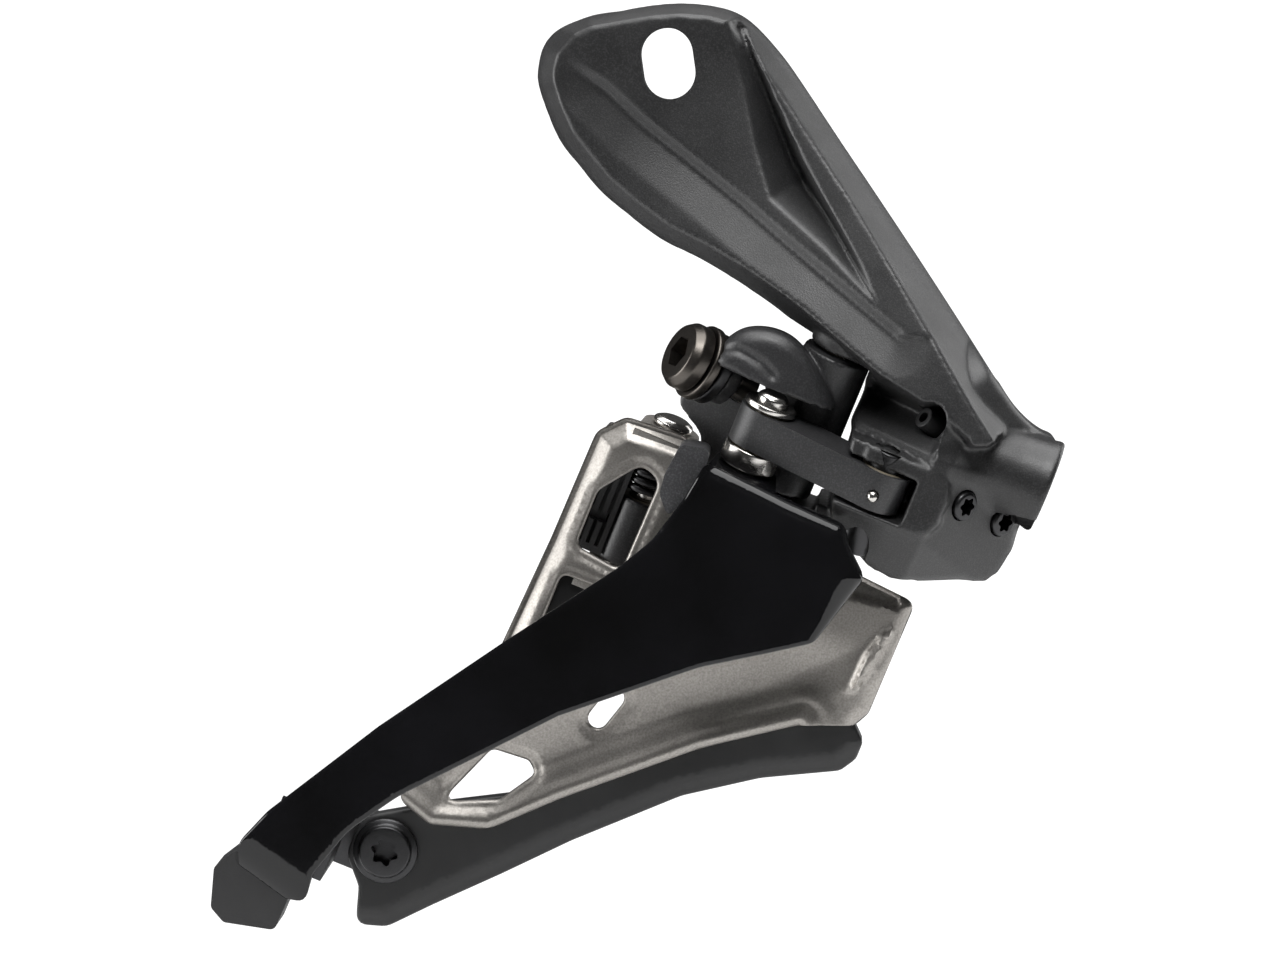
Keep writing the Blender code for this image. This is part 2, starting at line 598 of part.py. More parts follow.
def make_cage_bridge(cage, pivot):
    leaf = rounded([(17.4, -37.9, 1.2), (21.6, -36.9, 1.4), (21.4, -41.0, 2), (19.5, -47.6, 0.8), (17.2, -45.0, 2),
                    (16.9, -42.5, 2)])
    low, high = OUTER_FACE + PLATE + SEAT_GAP, INNER_FACE - SEAT_GAP
    bridge = piece("cage_bridge", prism("cage_bridge", leaf, low, high), cage, ((0.05, 0.05, 0.052), 0.4, 0.3),
                   pivot)
    for name, at in (("upper", (19.3, 0, -42.9)), ("lower", (19.2, 0, -45.7))):
        rivet = "bridge_rivet_" + name
        hole = rod("cut_" + rivet, 0.9, INNER_FACE - 4, INNER_FACE + 4, at, (0, 1, 0))
        bore = helper("cut_" + rivet, hole, cage)
        cut(bridge, bore)
        cut(bpy.data.objects["inner_plate"], bore)
        head = INNER_FACE + PLATE + SEAT_GAP
        profile = [(0, INNER_FACE - 3.7), (0.8, INNER_FACE - 3.7), (0.8, head), (1.3, head), (1.0, head + 0.5),
                   (0, head + 0.6)]
        piece(rivet, turned(rivet, profile, at, (0, 1, 0), 16), cage, (STEEL, 0.35, 1.0), pivot)


SKID_SCREW_AT = (1.0, 0.0, -105.0)


def make_skid_pad(cage, pivot):
    outline = rounded([
        (52.6, -64.4, 1), (55.2, -66.8, 1.5), (55.3, -69.6, 1), (53.9, -71.9, 2), (44.3, -76.9, 12),
        (35.3, -83.2, 8), (23.8, -94.5, 0), (16.8, -102.2, 0), (9.6, -109.8, 0), (5.0, -114.9, 3),
        (1.0, -116.2, 1.5), (-0.6, -111.0, 2), (-3.8, -107.5, 3), (-3.8, -102.0, 4), (5.0, -96.5, 8),
        (14.0, -91.5, 4), (24.0, -81.5, 0), (36.0, -70.5, 10), (45.0, -64.8, 4)])
    front = INNER_FACE + PLATE + SEAT_GAP
    pad = piece("skid_pad", prism("skid_pad", outline, front, PAD_BACK), cage, (PLASTIC, 0.55, 0.0), pivot)
    hole = rod("cut_skid", 2.1, -20, 10, SKID_SCREW_AT, (0, 1, 0))
    hole = helper("cut_skid", hole, cage)
    cut(pad, hole)
    face = front - SEAT_GAP
    profile = [(0, -2.0), (2.0, -2.0), (2.0, face), (4.4, face), (4.4, face - 0.6), (3.5, face - 1.0),
               (3.5, face - 1.9), (0, face - 1.9)]
    screw = piece("skid_screw", turned("skid_screw", profile, SKID_SCREW_AT, (0, 1, 0)), cage,
                  (BLACK, 0.4, 0.5), pivot)
    socket = rod("socket_skid", 1.6, face - 5, face - 0.7, SKID_SCREW_AT, (0, 1, 0), sides=6)
    cut(screw, helper("socket_skid", socket, cage))
    return hole


def make_tail(cage, pivot, screw_hole):
    low, high = OUTER_FACE + PLATE + SEAT_GAP, PAD_BACK + SEAT_GAP
    wall = 1.5
    plan = [(-14.0, low), (-5.2, low), (-5.2, high), (5.0, high), (5.0, high + wall), (-6.7, high + wall),
            (-6.7, low + wall), (-14.0, low + wall)]
    bridge = piece("tail_bridge", prism("tail_bridge", plan, -109.8, -101.2, "Z"), cage,
                   (BLACK, 0.4, 0.3), pivot)
    cut(bridge, screw_hole)
    outline = rounded([(-17.1, -110.2, 1), (-19.0, -113.4, 1), (-17.4, -118.6, 1), (-15.1, -119.8, 1),
                       (-8.4, -118.2, 1), (-8.2, -110.2, 1)])
    piece("tail_block", prism("tail_block", outline, low, low + 10.5), cage, (PLASTIC, 0.5, 0.0), pivot)


def main():
    clear_scene()
    world = make_empty("part_frame", Matrix.Identity(4))
    cage = make_empty("cage_frame", Matrix.Rotation(TILT, 4, "Y"), world)
    lean = Matrix.Translation(SWING_ORIGIN * MM) @ Matrix.Rotation(LEAN, 4, "X")
    swing = make_empty("swing_frame", lean, cage)
    outer_pivot = make_empty("outer_link_pivot", pose(swing, FRONT_OUTER), swing)
    inner_pivot = make_empty("inner_link_pivot", pose(swing, FRONT_INNER), swing)
    cage_pivot = make_empty("cage_pivot", pose(swing, REAR_OUTER), outer_pivot)
    make_bracket(world, cage, swing)
    make_bracket_hardware(cage, swing)
    make_outer_link(swing, outer_pivot)
    make_inner_link(cage, swing, inner_pivot)
    make_cable_bolt(cage, inner_pivot)
    make_outer_plate(cage, swing, cage_pivot)
    make_inner_plate(cage, swing, cage_pivot)
    make_rear_pins(swing, cage_pivot)
    make_return_spring(swing, cage_pivot)
    make_cage_bridge(cage, cage_pivot)
    screw_hole = make_skid_pad(cage, cage_pivot)
    make_tail(cage, cage_pivot, screw_hole)


main()
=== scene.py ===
"""Looks of the front derailleur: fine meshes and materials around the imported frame, with camera and light."""

import json
import math

import bmesh
import bpy
import numpy as np
from mathutils import Matrix, Vector
from mathutils.geometry import delaunay_2d_cdt


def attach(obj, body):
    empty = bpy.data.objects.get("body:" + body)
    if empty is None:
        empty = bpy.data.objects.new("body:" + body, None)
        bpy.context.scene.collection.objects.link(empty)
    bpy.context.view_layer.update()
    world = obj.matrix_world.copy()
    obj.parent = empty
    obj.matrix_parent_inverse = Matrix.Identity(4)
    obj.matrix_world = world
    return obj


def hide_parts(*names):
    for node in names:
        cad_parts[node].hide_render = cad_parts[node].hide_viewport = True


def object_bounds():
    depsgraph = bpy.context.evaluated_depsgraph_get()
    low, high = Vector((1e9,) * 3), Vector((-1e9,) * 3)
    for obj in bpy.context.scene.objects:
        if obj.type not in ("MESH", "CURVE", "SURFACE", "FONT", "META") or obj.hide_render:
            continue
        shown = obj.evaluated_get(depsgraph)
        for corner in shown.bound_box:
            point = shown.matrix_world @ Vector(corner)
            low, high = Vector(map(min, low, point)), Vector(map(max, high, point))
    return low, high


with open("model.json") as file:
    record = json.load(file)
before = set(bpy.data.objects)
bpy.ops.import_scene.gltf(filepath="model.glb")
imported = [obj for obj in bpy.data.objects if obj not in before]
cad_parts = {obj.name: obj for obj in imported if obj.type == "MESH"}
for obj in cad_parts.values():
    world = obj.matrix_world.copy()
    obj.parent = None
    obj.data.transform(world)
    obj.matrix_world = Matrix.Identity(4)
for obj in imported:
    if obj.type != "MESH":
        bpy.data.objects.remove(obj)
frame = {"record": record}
CAD_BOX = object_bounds()

MM = 0.001
TILT = math.radians(22.0)       # cage frame about +Y
LEAN = math.radians(12.0)       # pins lean outboard at the top
JOINTS = {joint["name"]: joint for joint in frame["record"]["behaviour"]["joints"]}


def joint_place(name):
    return Vector(JOINTS[name]["pos_m"]) / MM


WORLD = Matrix.Identity(4)
CAGE = Matrix.Rotation(TILT, 4, "Y")
SWING = Matrix.Translation(joint_place("outer_link_swing")) @ CAGE @ Matrix.Rotation(LEAN, 4, "X")
FRONT_OUTER = Vector((0.0, 0.0, 0.0))
FRONT_INNER = SWING.inverted() @ joint_place("inner_link_swing")
REAR_OUTER = SWING.inverted() @ joint_place("cage_swing")
REAR_INNER = FRONT_INNER + REAR_OUTER
FRONT_INNER.z = REAR_OUTER.z = REAR_INNER.z = 0.0
LINK_TURN = math.atan2(REAR_OUTER.y, REAR_OUTER.x)
LINK_LENGTH = REAR_OUTER.length

OUTER_FACE = -25.0
INNER_FACE = -10.0
PLATE = 1.4
PIN_R = 2.2
INNER_PIN_R = 2.0
LINK_HALF = 2.6
INNER_LOW, INNER_HIGH = -8.5, 12.0
REAR_LOW, REAR_HIGH = -28.0, -18.6
FLANGE_HIGH = -8.0
FACET_NORMAL = Vector((0.72, -0.694, 0.0)).normalized()
SCREW_PLACES = {
    "high_limit_screw": Vector((55.4, -18.7, -31.6)),
    "low_limit_screw": Vector((61.2, -12.7, -32.0)),
}
BARREL_LINE = Vector((0.0, -12.5, -25.5))       # the cable stop's barrel runs along u
CABLE_FROM = Vector((54.5, -12.5, -25.5))
CABLE_TO = Vector((45.0, -19.0, -22.5))
CABLE_DIRECTION = (CABLE_FROM - CABLE_TO).normalized()
BOLT_FACE = Vector((12.4, -12.9, -27.2))
BOLT_AXIS = Vector((-0.89, -0.44, 0.10)).normalized()
BOLT_STACK = 6.6
SKID_SCREW_AT = Vector((1.0, 0.0, -105.0))


# ---------------------------------------------------------------- outlines and distances

def rounded(corners, steps=6):
    """Corners (x, y, radius) of an outline, each turned into a curve that touches both sides."""
    points = []
    count = len(corners)
    for index, (x, y, radius) in enumerate(corners):
        here = Vector((x, y))
        before = Vector(corners[index - 1][:2]) - here
        after = Vector(corners[(index + 1) % count][:2]) - here
        angle = before.angle(after)
        if radius <= 0.0 or angle > math.radians(179.0):
            points.append(here)
            continue
        reach = min(radius / math.tan(angle / 2.0), 0.49 * before.length, 0.49 * after.length)
        start = here + before.normalized() * reach
        end = here + after.normalized() * reach
        for step in range(steps + 1):
            t = step / steps
            points.append(start * (1 - t) ** 2 + here * 2 * t * (1 - t) + end * t ** 2)
    return np.array([tuple(p) for p in points])


def flowing(points, steps=6):
    """Closed smooth curve through points."""
    points = np.array(points, float)
    count = len(points)
    result = []
    for index in range(count):
        a, b, c, d = (points[(index + k) % count] for k in (-1, 0, 1, 2))
        for step in range(steps):
            t = step / steps
            result.append(0.5 * (2 * b + (c - a) * t + (2 * a - 5 * b + 4 * c - d) * t ** 2
                                 + (3 * b - a - 3 * c + d) * t ** 3))
    return np.array(result)


def capsule(start, end, radius, steps=16):
    start, end = Vector(start), Vector(end)
    along = (end - start).normalized()
    across = Vector((-along.y, along.x))
    points = []
    for centre, sign in ((end, 1.0), (start, -1.0)):
        for step in range(steps + 1):
            turn = math.pi * step / steps
            points.append(centre + radius * sign * (math.sin(turn) * along - math.cos(turn) * across))
    return np.array([tuple(p) for p in points])


def spaced(outline, spacing):
    """The same closed outline with points about one spacing apart."""
    closed = np.vstack([outline, outline[:1]])
    lengths = np.linalg.norm(np.diff(closed, axis=0), axis=1)
    reach = np.concatenate([[0.0], np.cumsum(lengths)])
    count = max(8, int(round(reach[-1] / spacing)))
    at = np.linspace(0.0, reach[-1], count, endpoint=False)
    return np.column_stack([np.interp(at, reach, closed[:, axis]) for axis in (0, 1)])


def distance(points, line, closed=True):
    """Distance from each point to a polyline."""
    line = np.asarray(line, float)
    start = line if closed else line[:-1]
    end = np.roll(line, -1, axis=0) if closed else line[1:]
    best = np.full(len(points), np.inf)
    for a, b in zip(start, end):
        run = b - a
        length = float(run @ run)
        if length < 1e-12:
            continue
        share = np.clip(((points - a) @ run) / length, 0.0, 1.0)
        best = np.minimum(best, np.linalg.norm(points - (a + share[:, None] * run), axis=1))
    return best


def inside(points, outline):
    x, y = points[:, 0], points[:, 1]
    result = np.zeros(len(points), bool)
    previous = outline[-1]
    for here in outline:
        crosses = (here[1] > y) != (previous[1] > y)
        rise = previous[1] - here[1]
        if rise != 0.0:
            result ^= crosses & (x < (previous[0] - here[0]) * (y - here[1]) / rise + here[0])
        previous = here
    return result


def smooth(low, high, value):
    share = np.clip((value - low) / (high - low), 0.0, 1.0)
    return share * share * (3.0 - 2.0 * share)


def edge_drop(gap, radius):
    """How far a rounded edge has fallen at a distance from its rim."""
    near = np.clip(radius - gap, 0.0, radius)
    return radius - np.sqrt(np.maximum(radius * radius - near * near, 0.0))


def far_from_rim(points):
    """Gaps that leave every rounded edge out."""
    return np.full(len(points), 9.0)


def chamfer(gap, width, slope):
    """A flat bevel along a rim, with a short blend into the face."""
    short = np.clip(width + 0.3 - gap, 0.0, None)
    return slope * np.where(short < 0.6, short * short / 1.2, short - 0.3)


# ---------------------------------------------------------------- meshes, in millimetres

EDGE_RINGS = (0.05, 0.16, 0.34, 0.6, 1.0, 1.6, 2.4, 3.2)


def relief(outline, holes, front, back, spacing, rim, rings=EDGE_RINGS):
    """A closed slab over an outline, with faces front(points, gap) and back(points, gap) along Y."""
    loops = [spaced(outline, rim)] + [spaced(hole, min(rim, 0.5)) for hole in holes]
    coords = [tuple(p) for loop in loops for p in loop]
    edges, base = [], 0
    for loop in loops:
        edges += [(base + i, base + (i + 1) % len(loop)) for i in range(len(loop))]
        base += len(loop)
    inner = [grid_points(outline, spacing)]
    for number, loop in enumerate(loops):
        tangent = np.roll(loop, -1, axis=0) - np.roll(loop, 1, axis=0)
        tangent /= np.linalg.norm(tangent, axis=1)[:, None]
        normal = np.column_stack([-tangent[:, 1], tangent[:, 0]])
        probe = loop + 0.01 * normal
        flip = -1.0 if inside(probe, loop).mean() < 0.5 else 1.0
        flip = -flip if number else flip
        for ring in rings:
            shifted = loop + flip * ring * normal
            inner.append(np.column_stack([shifted, np.full(len(shifted), ring)]))
    inner = np.vstack(inner)
    places = inner[:, :2]
    gap = np.min([distance(places, loop) for loop in loops], axis=0)
    keep = inside(places, loops[0]) & (gap > 0.93 * inner[:, 2]) & (gap > 0.03)
    for loop in loops[1:]:
        keep &= ~inside(places, loop)
    places = thin(places[keep], 0.04)
    coords += [tuple(p) for p in places]
    verts, _, faces, _, _, _ = delaunay_2d_cdt([Vector(c) for c in coords], edges, [], 1, 1e-5)
    plan = np.array([tuple(v) for v in verts])
    faces = np.array(faces)
    centres = plan[faces].mean(axis=1)
    keep = inside(centres, loops[0])
    for loop in loops[1:]:
        keep &= ~inside(centres, loop)
    faces = faces[keep]
    gap = np.min([distance(plan, loop) for loop in loops], axis=0)
    return slab(plan, faces, front(plan, gap), back(plan, gap))


def grid_points(outline, spacing):
    """Rows of points in a triangle pattern over an outline's box, each with the least gap it needs."""
    low, high = outline.min(axis=0), outline.max(axis=0)
    rows = np.arange(low[1], high[1], spacing * 0.866)
    points = []
    for number, y in enumerate(rows):
        xs = np.arange(low[0] + (number % 2) * spacing / 2.0, high[0], spacing)
        points.append(np.column_stack([xs, np.full(len(xs), y), np.full(len(xs), 0.35)]))
    return np.vstack(points)


def thin(points, cell):
    """Drops points that share a small cell with another."""
    keys = np.round(points / cell).astype(int)
    _, index = np.unique(keys, axis=0, return_index=True)
    return points[np.sort(index)]


def slab(plan, faces, front, back):
    bm = bmesh.new()
    fronts = [bm.verts.new((x, y, z)) for (x, z), y in zip(plan, front)]
    backs = [bm.verts.new((x, y, z)) for (x, z), y in zip(plan, back)]
    count = {}
    for face in faces:
        a, b, c = (int(i) for i in face)
        bm.faces.new((fronts[a], fronts[b], fronts[c]))
        bm.faces.new((backs[c], backs[b], backs[a]))
        for edge in ((a, b), (b, c), (c, a)):
            count.setdefault(tuple(sorted(edge)), []).append(edge)
    for edge in count.values():
        if len(edge) == 1:
            a, b = edge[0]
            bm.faces.new((fronts[b], fronts[a], backs[a], backs[b]))
    bmesh.ops.delete(bm, geom=[v for v in bm.verts if not v.link_faces], context="VERTS")
    return bm


def prism(outline, low, high, axis="Y"):
    bm = bmesh.new()
    rings = []
    for depth in (low, high):
        if axis == "Y":
            rings.append([bm.verts.new((p[0], depth, p[1])) for p in outline])
        else:
            rings.append([bm.verts.new((p[0], p[1], depth)) for p in outline])
    skin(bm, rings[0], rings[1])
    bm.faces.new(rings[0])
    bm.faces.new(list(reversed(rings[1])))
    return bm


def skin(bm, first, second):
    count = max(len(first), len(second))
    for index in range(count):
        after = (index + 1) % count
        if len(first) == 1:
            bm.faces.new((first[0], second[after], second[index]))
        elif len(second) == 1:
            bm.faces.new((first[index], first[after], second[0]))
        else:
            bm.faces.new((first[index], first[after], second[after], second[index]))


def stand(bm, at, axis):
    """Turns a mesh built along Z onto an axis, with its origin at a place."""
    turn = Vector((0, 0, 1)).rotation_difference(Vector(axis)).to_matrix().to_4x4()
    bmesh.ops.transform(bm, matrix=Matrix.Translation(at) @ turn, verts=bm.verts)
    return bm


def turned(profile, at=(0, 0, 0), axis=(0, 0, 1), sides=64):
    """A solid of revolution: profile (radius, height), closed on the axis or into a ring."""
    bm = bmesh.new()
    rows = []
    turns = [2 * math.pi * side / sides for side in range(sides)]
    for radius, height in profile:
        if radius == 0.0:
            rows.append([bm.verts.new((0, 0, height))])
        else:
            rows.append([bm.verts.new((radius * math.cos(t), radius * math.sin(t), height)) for t in turns])
    pairs = list(zip(rows, rows[1:]))
    if all(radius > 0.0 for radius, _ in profile):
        pairs.append((rows[-1], rows[0]))
    for first, second in pairs:
        skin(bm, first, second)
    return stand(bm, at, axis)


def rod(radius, low, high, at=(0, 0, 0), axis=(0, 0, 1), sides=48):
    return turned([(0, low), (radius, low), (radius, high), (0, high)], at, axis, sides)


def soft_profile(corners, radius=0.15):
    """A turned profile with its outer corners rounded."""
    points = []
    for index, (r, h) in enumerate(corners):
        if index in (0, len(corners) - 1) or r == 0.0:
            points.append((r, h))
            continue
        here = Vector((r, h))
        before = Vector(corners[index - 1]) - here
        after = Vector(corners[index + 1]) - here
        reach = min(radius, 0.45 * before.length, 0.45 * after.length)
        start = here + before.normalized() * reach
        end = here + after.normalized() * reach
        for t in (0.0, 0.25, 0.5, 0.75, 1.0):
            p = start * (1 - t) ** 2 + here * 2 * t * (1 - t) + end * t ** 2
            points.append((p.x, p.y))
    return points


def soft_ring(inner, outer, low, high, radius=0.15):
    """Ring profile with rounded outer corners."""
    return soft_profile([(inner, low), (outer, low), (outer, high), (inner, high)], radius)


def box(low, high):
    corners = [(x, y, z) for x in (low[0], high[0]) for y in (low[1], high[1]) for z in (low[2], high[2])]
    bm = bmesh.new()
    for corner in corners:
        bm.verts.new(corner)
    bmesh.ops.convex_hull(bm, input=bm.verts)
    return bm


def star(radius, depth, at, axis):
    """A six-lobed driver socket's cutter, from its floor at -depth to well above the face."""
    outline = []
    for step in range(72):
        turn = 2 * math.pi * step / 72
        reach = radius * (0.86 + 0.14 * math.cos(6 * turn))
        outline.append((reach * math.cos(turn), reach * math.sin(turn)))
    bm = prism(outline, -depth, 4.0, "Z")
    return stand(bm, at, axis)


def hexagon(across, depth, at, axis):
    """A hex socket's cutter, with a cone at its floor."""
    corner = across / math.sqrt(3.0)
    return turned([(0, -depth - 0.5), (corner, -depth), (corner, 4.0), (0, 4.0)], at, axis, 6)


# ---------------------------------------------------------------- objects

def raw_object(name, bm, place=WORLD):
    """A mesh object in millimetres in world axes, its ngons triangulated."""
    bmesh.ops.transform(bm, matrix=place, verts=bm.verts)
    bm.normal_update()
    big = [face for face in bm.faces if len(face.verts) > 4]
    bmesh.ops.triangulate(bm, faces=big, ngon_method="EAR_CLIP")
    bmesh.ops.recalc_face_normals(bm, faces=bm.faces)
    mesh = bpy.data.meshes.new(name)
    bm.to_mesh(mesh)
    bm.free()
    item = bpy.data.objects.new(name, mesh)
    bpy.context.collection.objects.link(item)
    return item


def apply_all(item):
    graph = bpy.context.evaluated_depsgraph_get()
    mesh = bpy.data.meshes.new_from_object(item.evaluated_get(graph))
    item.modifiers.clear()
    old = item.data
    item.data = mesh
    bpy.data.meshes.remove(old)


def blend(item, other, operation):
    modifier = item.modifiers.new("bool", "BOOLEAN")
    modifier.operation = operation
    modifier.object = other
    modifier.solver = "MANIFOLD"
    apply_all(item)
    bpy.data.objects.remove(other, do_unlink=True)


def cut(item, bm, place=WORLD):
    blend(item, raw_object("operand", bm, place), "DIFFERENCE")


def join(item, bm, place=WORLD):
    blend(item, raw_object("operand", bm, place), "UNION")


def melt(item, voxel, passes):
    """Voxel remesh and smoothing, which gives a forged part its soft edges."""
    remesh = item.modifiers.new("remesh", "REMESH")
    remesh.mode = "VOXEL"
    remesh.voxel_size = voxel
    soften = item.modifiers.new("soften", "SMOOTH")
    soften.factor = 0.5
    soften.iterations = passes
    apply_all(item)


def bevel(item, width, segments=3):
    modifier = item.modifiers.new("bevel", "BEVEL")
    modifier.width = width
    modifier.segments = segments
    modifier.limit_method = "ANGLE"
    modifier.angle_limit = math.radians(30.0)
    modifier.use_clamp_overlap = True
    apply_all(item)


def finish_piece(item, body, slot, replaces=(), angle=40.0, look=None):
    """Scales a piece to metres and gives it its body and its look, which is the slot's own as a rule."""
    item.data.transform(Matrix.Scale(MM, 4))
    item.data.shade_smooth()
    item.data.set_sharp_from_angle(angle=math.radians(angle))
    item.data.materials.clear()
    item.data.materials.append(LOOKS[look or slot])
    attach(item, body)
    if replaces:
        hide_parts(*replaces)
    return item


# ---------------------------------------------------------------- materials

def new_material(name, colour, roughness, metallic):
    material = bpy.data.materials.new(name)
    material.use_nodes = True
    nodes = material.node_tree.nodes
    shader = nodes["Principled BSDF"]
    shader.inputs["Base Color"].default_value = (*colour, 1.0)
    shader.inputs["Roughness"].default_value = roughness
    shader.inputs["Metallic"].default_value = metallic
    return material, nodes, material.node_tree.links, shader


def noise(nodes, links, scale, detail=2.0, stretch=None):
    coords = nodes.new("ShaderNodeTexCoord")
    source = coords.outputs["Object"]
    if stretch:
        mapping = nodes.new("ShaderNodeMapping")
        mapping.inputs["Scale"].default_value = stretch
        links.new(source, mapping.inputs["Vector"])
        source = mapping.outputs["Vector"]
    texture = nodes.new("ShaderNodeTexNoise")
    texture.inputs["Scale"].default_value = scale
    texture.inputs["Detail"].default_value = detail
    links.new(source, texture.inputs["Vector"])
    return texture.outputs["Fac"]


def tint(nodes, links, factor, dark, light, low=0.35, high=0.65):
    ramp = nodes.new("ShaderNodeValToRGB")
    ramp.color_ramp.elements[0].position = low
    ramp.color_ramp.elements[1].position = high
    ramp.color_ramp.elements[0].color = (*dark, 1.0)
    ramp.color_ramp.elements[1].color = (*light, 1.0)
    links.new(factor, ramp.inputs["Fac"])
    return ramp.outputs["Color"]


def spread(nodes, links, factor, low, high):
    mapping = nodes.new("ShaderNodeMapRange")
    mapping.inputs["From Min"].default_value = 0.3
    mapping.inputs["From Max"].default_value = 0.7
    mapping.inputs["To Min"].default_value = low
    mapping.inputs["To Max"].default_value = high
    links.new(factor, mapping.inputs["Value"])
    return mapping.outputs["Result"]


def bump(nodes, links, shader, factor, strength, depth):
    node = nodes.new("ShaderNodeBump")
    node.inputs["Strength"].default_value = strength
    node.inputs["Distance"].default_value = depth
    links.new(factor, node.inputs["Height"])
    links.new(node.outputs["Normal"], shader.inputs["Normal"])


def grained_paint(name, colour, roughness, grain=5200.0, strength=0.5):
    """Satin black coat with a fine sparkling grain."""
    material, nodes, links, shader = new_material(name, colour, roughness, 0.0)
    fine = noise(nodes, links, grain, 1.5)
    broad = noise(nodes, links, 130.0, 3.0)
    light = tuple(min(1.0, 2.1 * c + 0.012) for c in colour)
    links.new(tint(nodes, links, fine, colour, light, 0.45, 0.78), shader.inputs["Base Color"])
    links.new(spread(nodes, links, broad, roughness - 0.05, roughness + 0.06), shader.inputs["Roughness"])
    shader.inputs["Specular IOR Level"].default_value = 0.62
    bump(nodes, links, shader, fine, strength, 0.00004)
    return material


def gloss_paint(name):
    """Deep black lacquer."""
    material, nodes, links, shader = new_material(name, (0.004, 0.004, 0.0045), 0.09, 0.0)
    broad = noise(nodes, links, 60.0, 3.0)
    links.new(spread(nodes, links, broad, 0.08, 0.10), shader.inputs["Roughness"])
    base = tint(nodes, links, broad, (0.003, 0.003, 0.0032), (0.006, 0.006, 0.007))
    links.new(base, shader.inputs["Base Color"])
    shader.inputs["Specular IOR Level"].default_value = 0.35
    shader.inputs["Coat Weight"].default_value = 0.12
    shader.inputs["Coat Roughness"].default_value = 0.04
    return material


def blasted_metal(name, colour, roughness):
    """Bare plate with a fine blasted grain."""
    material, nodes, links, shader = new_material(name, colour, roughness, 1.0)
    fine = noise(nodes, links, 3600.0, 2.0)
    broad = noise(nodes, links, 90.0, 3.0)
    dark = tuple(0.80 * c for c in colour)
    light = tuple(min(1.0, 1.15 * c) for c in colour)
    links.new(tint(nodes, links, fine, dark, light, 0.3, 0.7), shader.inputs["Base Color"])
    links.new(spread(nodes, links, broad, roughness - 0.05, roughness + 0.07), shader.inputs["Roughness"])
    bump(nodes, links, shader, fine, 0.3, 0.000012)
    return material


def turned_metal(name, colour, roughness):
    material, nodes, links, shader = new_material(name, colour, roughness, 1.0)
    fine = noise(nodes, links, 2500.0, 2.0, (1.0, 1.0, 6.0))
    dark = tuple(0.85 * c for c in colour)
    links.new(tint(nodes, links, fine, dark, colour), shader.inputs["Base Color"])
    links.new(spread(nodes, links, fine, roughness - 0.05, roughness + 0.07), shader.inputs["Roughness"])
    bump(nodes, links, shader, fine, 0.15, 0.00001)
    return material


def moulded_plastic(name, colour, roughness):
    material, nodes, links, shader = new_material(name, colour, roughness, 0.0)
    fine = noise(nodes, links, 2600.0, 2.0)
    broad = noise(nodes, links, 110.0, 4.0)
    light = tuple(1.5 * c + 0.004 for c in colour)
    links.new(tint(nodes, links, broad, colour, light), shader.inputs["Base Color"])
    links.new(spread(nodes, links, broad, roughness - 0.06, roughness + 0.08), shader.inputs["Roughness"])
    bump(nodes, links, shader, fine, 0.3, 0.00003)
    return material


LOOKS = {
    "bracket_paint": grained_paint("bracket_coat", (0.0125, 0.0125, 0.013), 0.44),
    "link_paint": grained_paint("link_coat", (0.015, 0.015, 0.016), 0.42, 4600.0),
    "gloss_paint": gloss_paint("cage_gloss"),
    "plate_metal": blasted_metal("cage_plate_metal", (0.36, 0.342, 0.32), 0.45),
    "bridge_metal": grained_paint("bridge_coat", (0.032, 0.032, 0.034), 0.38, 4000.0, 0.3),
    "bush_polymer": moulded_plastic("bush_polymer", (0.10, 0.085, 0.06), 0.5),
    "black_polymer": moulded_plastic("pad_polymer", (0.009, 0.009, 0.0095), 0.48),
    "bolt_steel": turned_metal("bolt_dark_steel", (0.11, 0.10, 0.09), 0.33),
    "black_steel": turned_metal("black_oxide", (0.06, 0.06, 0.062), 0.36),
    "bright_steel": turned_metal("nickel_plate", (0.66, 0.64, 0.61), 0.2),
}


# ---------------------------------------------------------------- bracket

# Stretches of the arm's outline, in order round the arm: (x, z)
ARM_TOP = [(-11.0, 14.9), (-6.8, 15.6), (-2.7, 16.3), (1.3, 16.6), (5.3, 16.3), (8.7, 15.4), (11.4, 13.6)]
ARM_FRONT = [(14.7, 10.0), (17.4, 6.3), (22.8, -1.8), (28.2, -9.8), (33.6, -17.9), (39.0, -26.2),
             (44.4, -34.7)]
ARM_FOOT = [(46.0, -38.0), (42.0, -42.0), (36.0, -40.8), (30.0, -37.2), (24.0, -32.6)]
ARM_HEEL = [(18.6, -29.4), (16.6, -27.4)]
ARM_REAR = [(15.4, -25.2), (9.4, -21.0), (4.0, -17.8), (-1.4, -15.1), (-6.6, -11.2), (-9.6, -8.6),
            (-12.3, -5.4), (-15.0, -1.9), (-16.8, 2.2), (-17.9, 5.6)]
ARM_TIP = [(-18.0, 7.6), (-17.2, 10.9)]
ARM_OUTLINE = flowing([(-15.2, 13.0)] + ARM_TOP + ARM_FRONT + ARM_FOOT + ARM_HEEL + ARM_REAR + ARM_TIP)
ARM_FRONT_EDGE = [(10.0, 15.6)] + ARM_FRONT + [(50.0, -43.5)]
ARM_REAR_EDGE = ([(-14.0, 14.6)] + ARM_TIP[::-1] + ARM_REAR[::-1]
                 + [(21.5, -30.2), (26.7, -34.5), (34.1, -39.2), (38.0, -42.5)])
ARM_TOP_EDGE = [(-15.2, 13.0)] + ARM_TOP
POCKET_STEEP = [(9.7, 13.7), (13.2, 5.8), (17.6, -3.8), (22.9, -13.3), (28.8, -24.6)]
POCKET_SLOPE = [(28.8, -24.6), (21.0, -16.2), (13.6, -9.6), (11.6, -3.0), (10.0, 5.0), (7.4, 13.9)]
POCKET = POCKET_STEEP[:-1] + POCKET_SLOPE
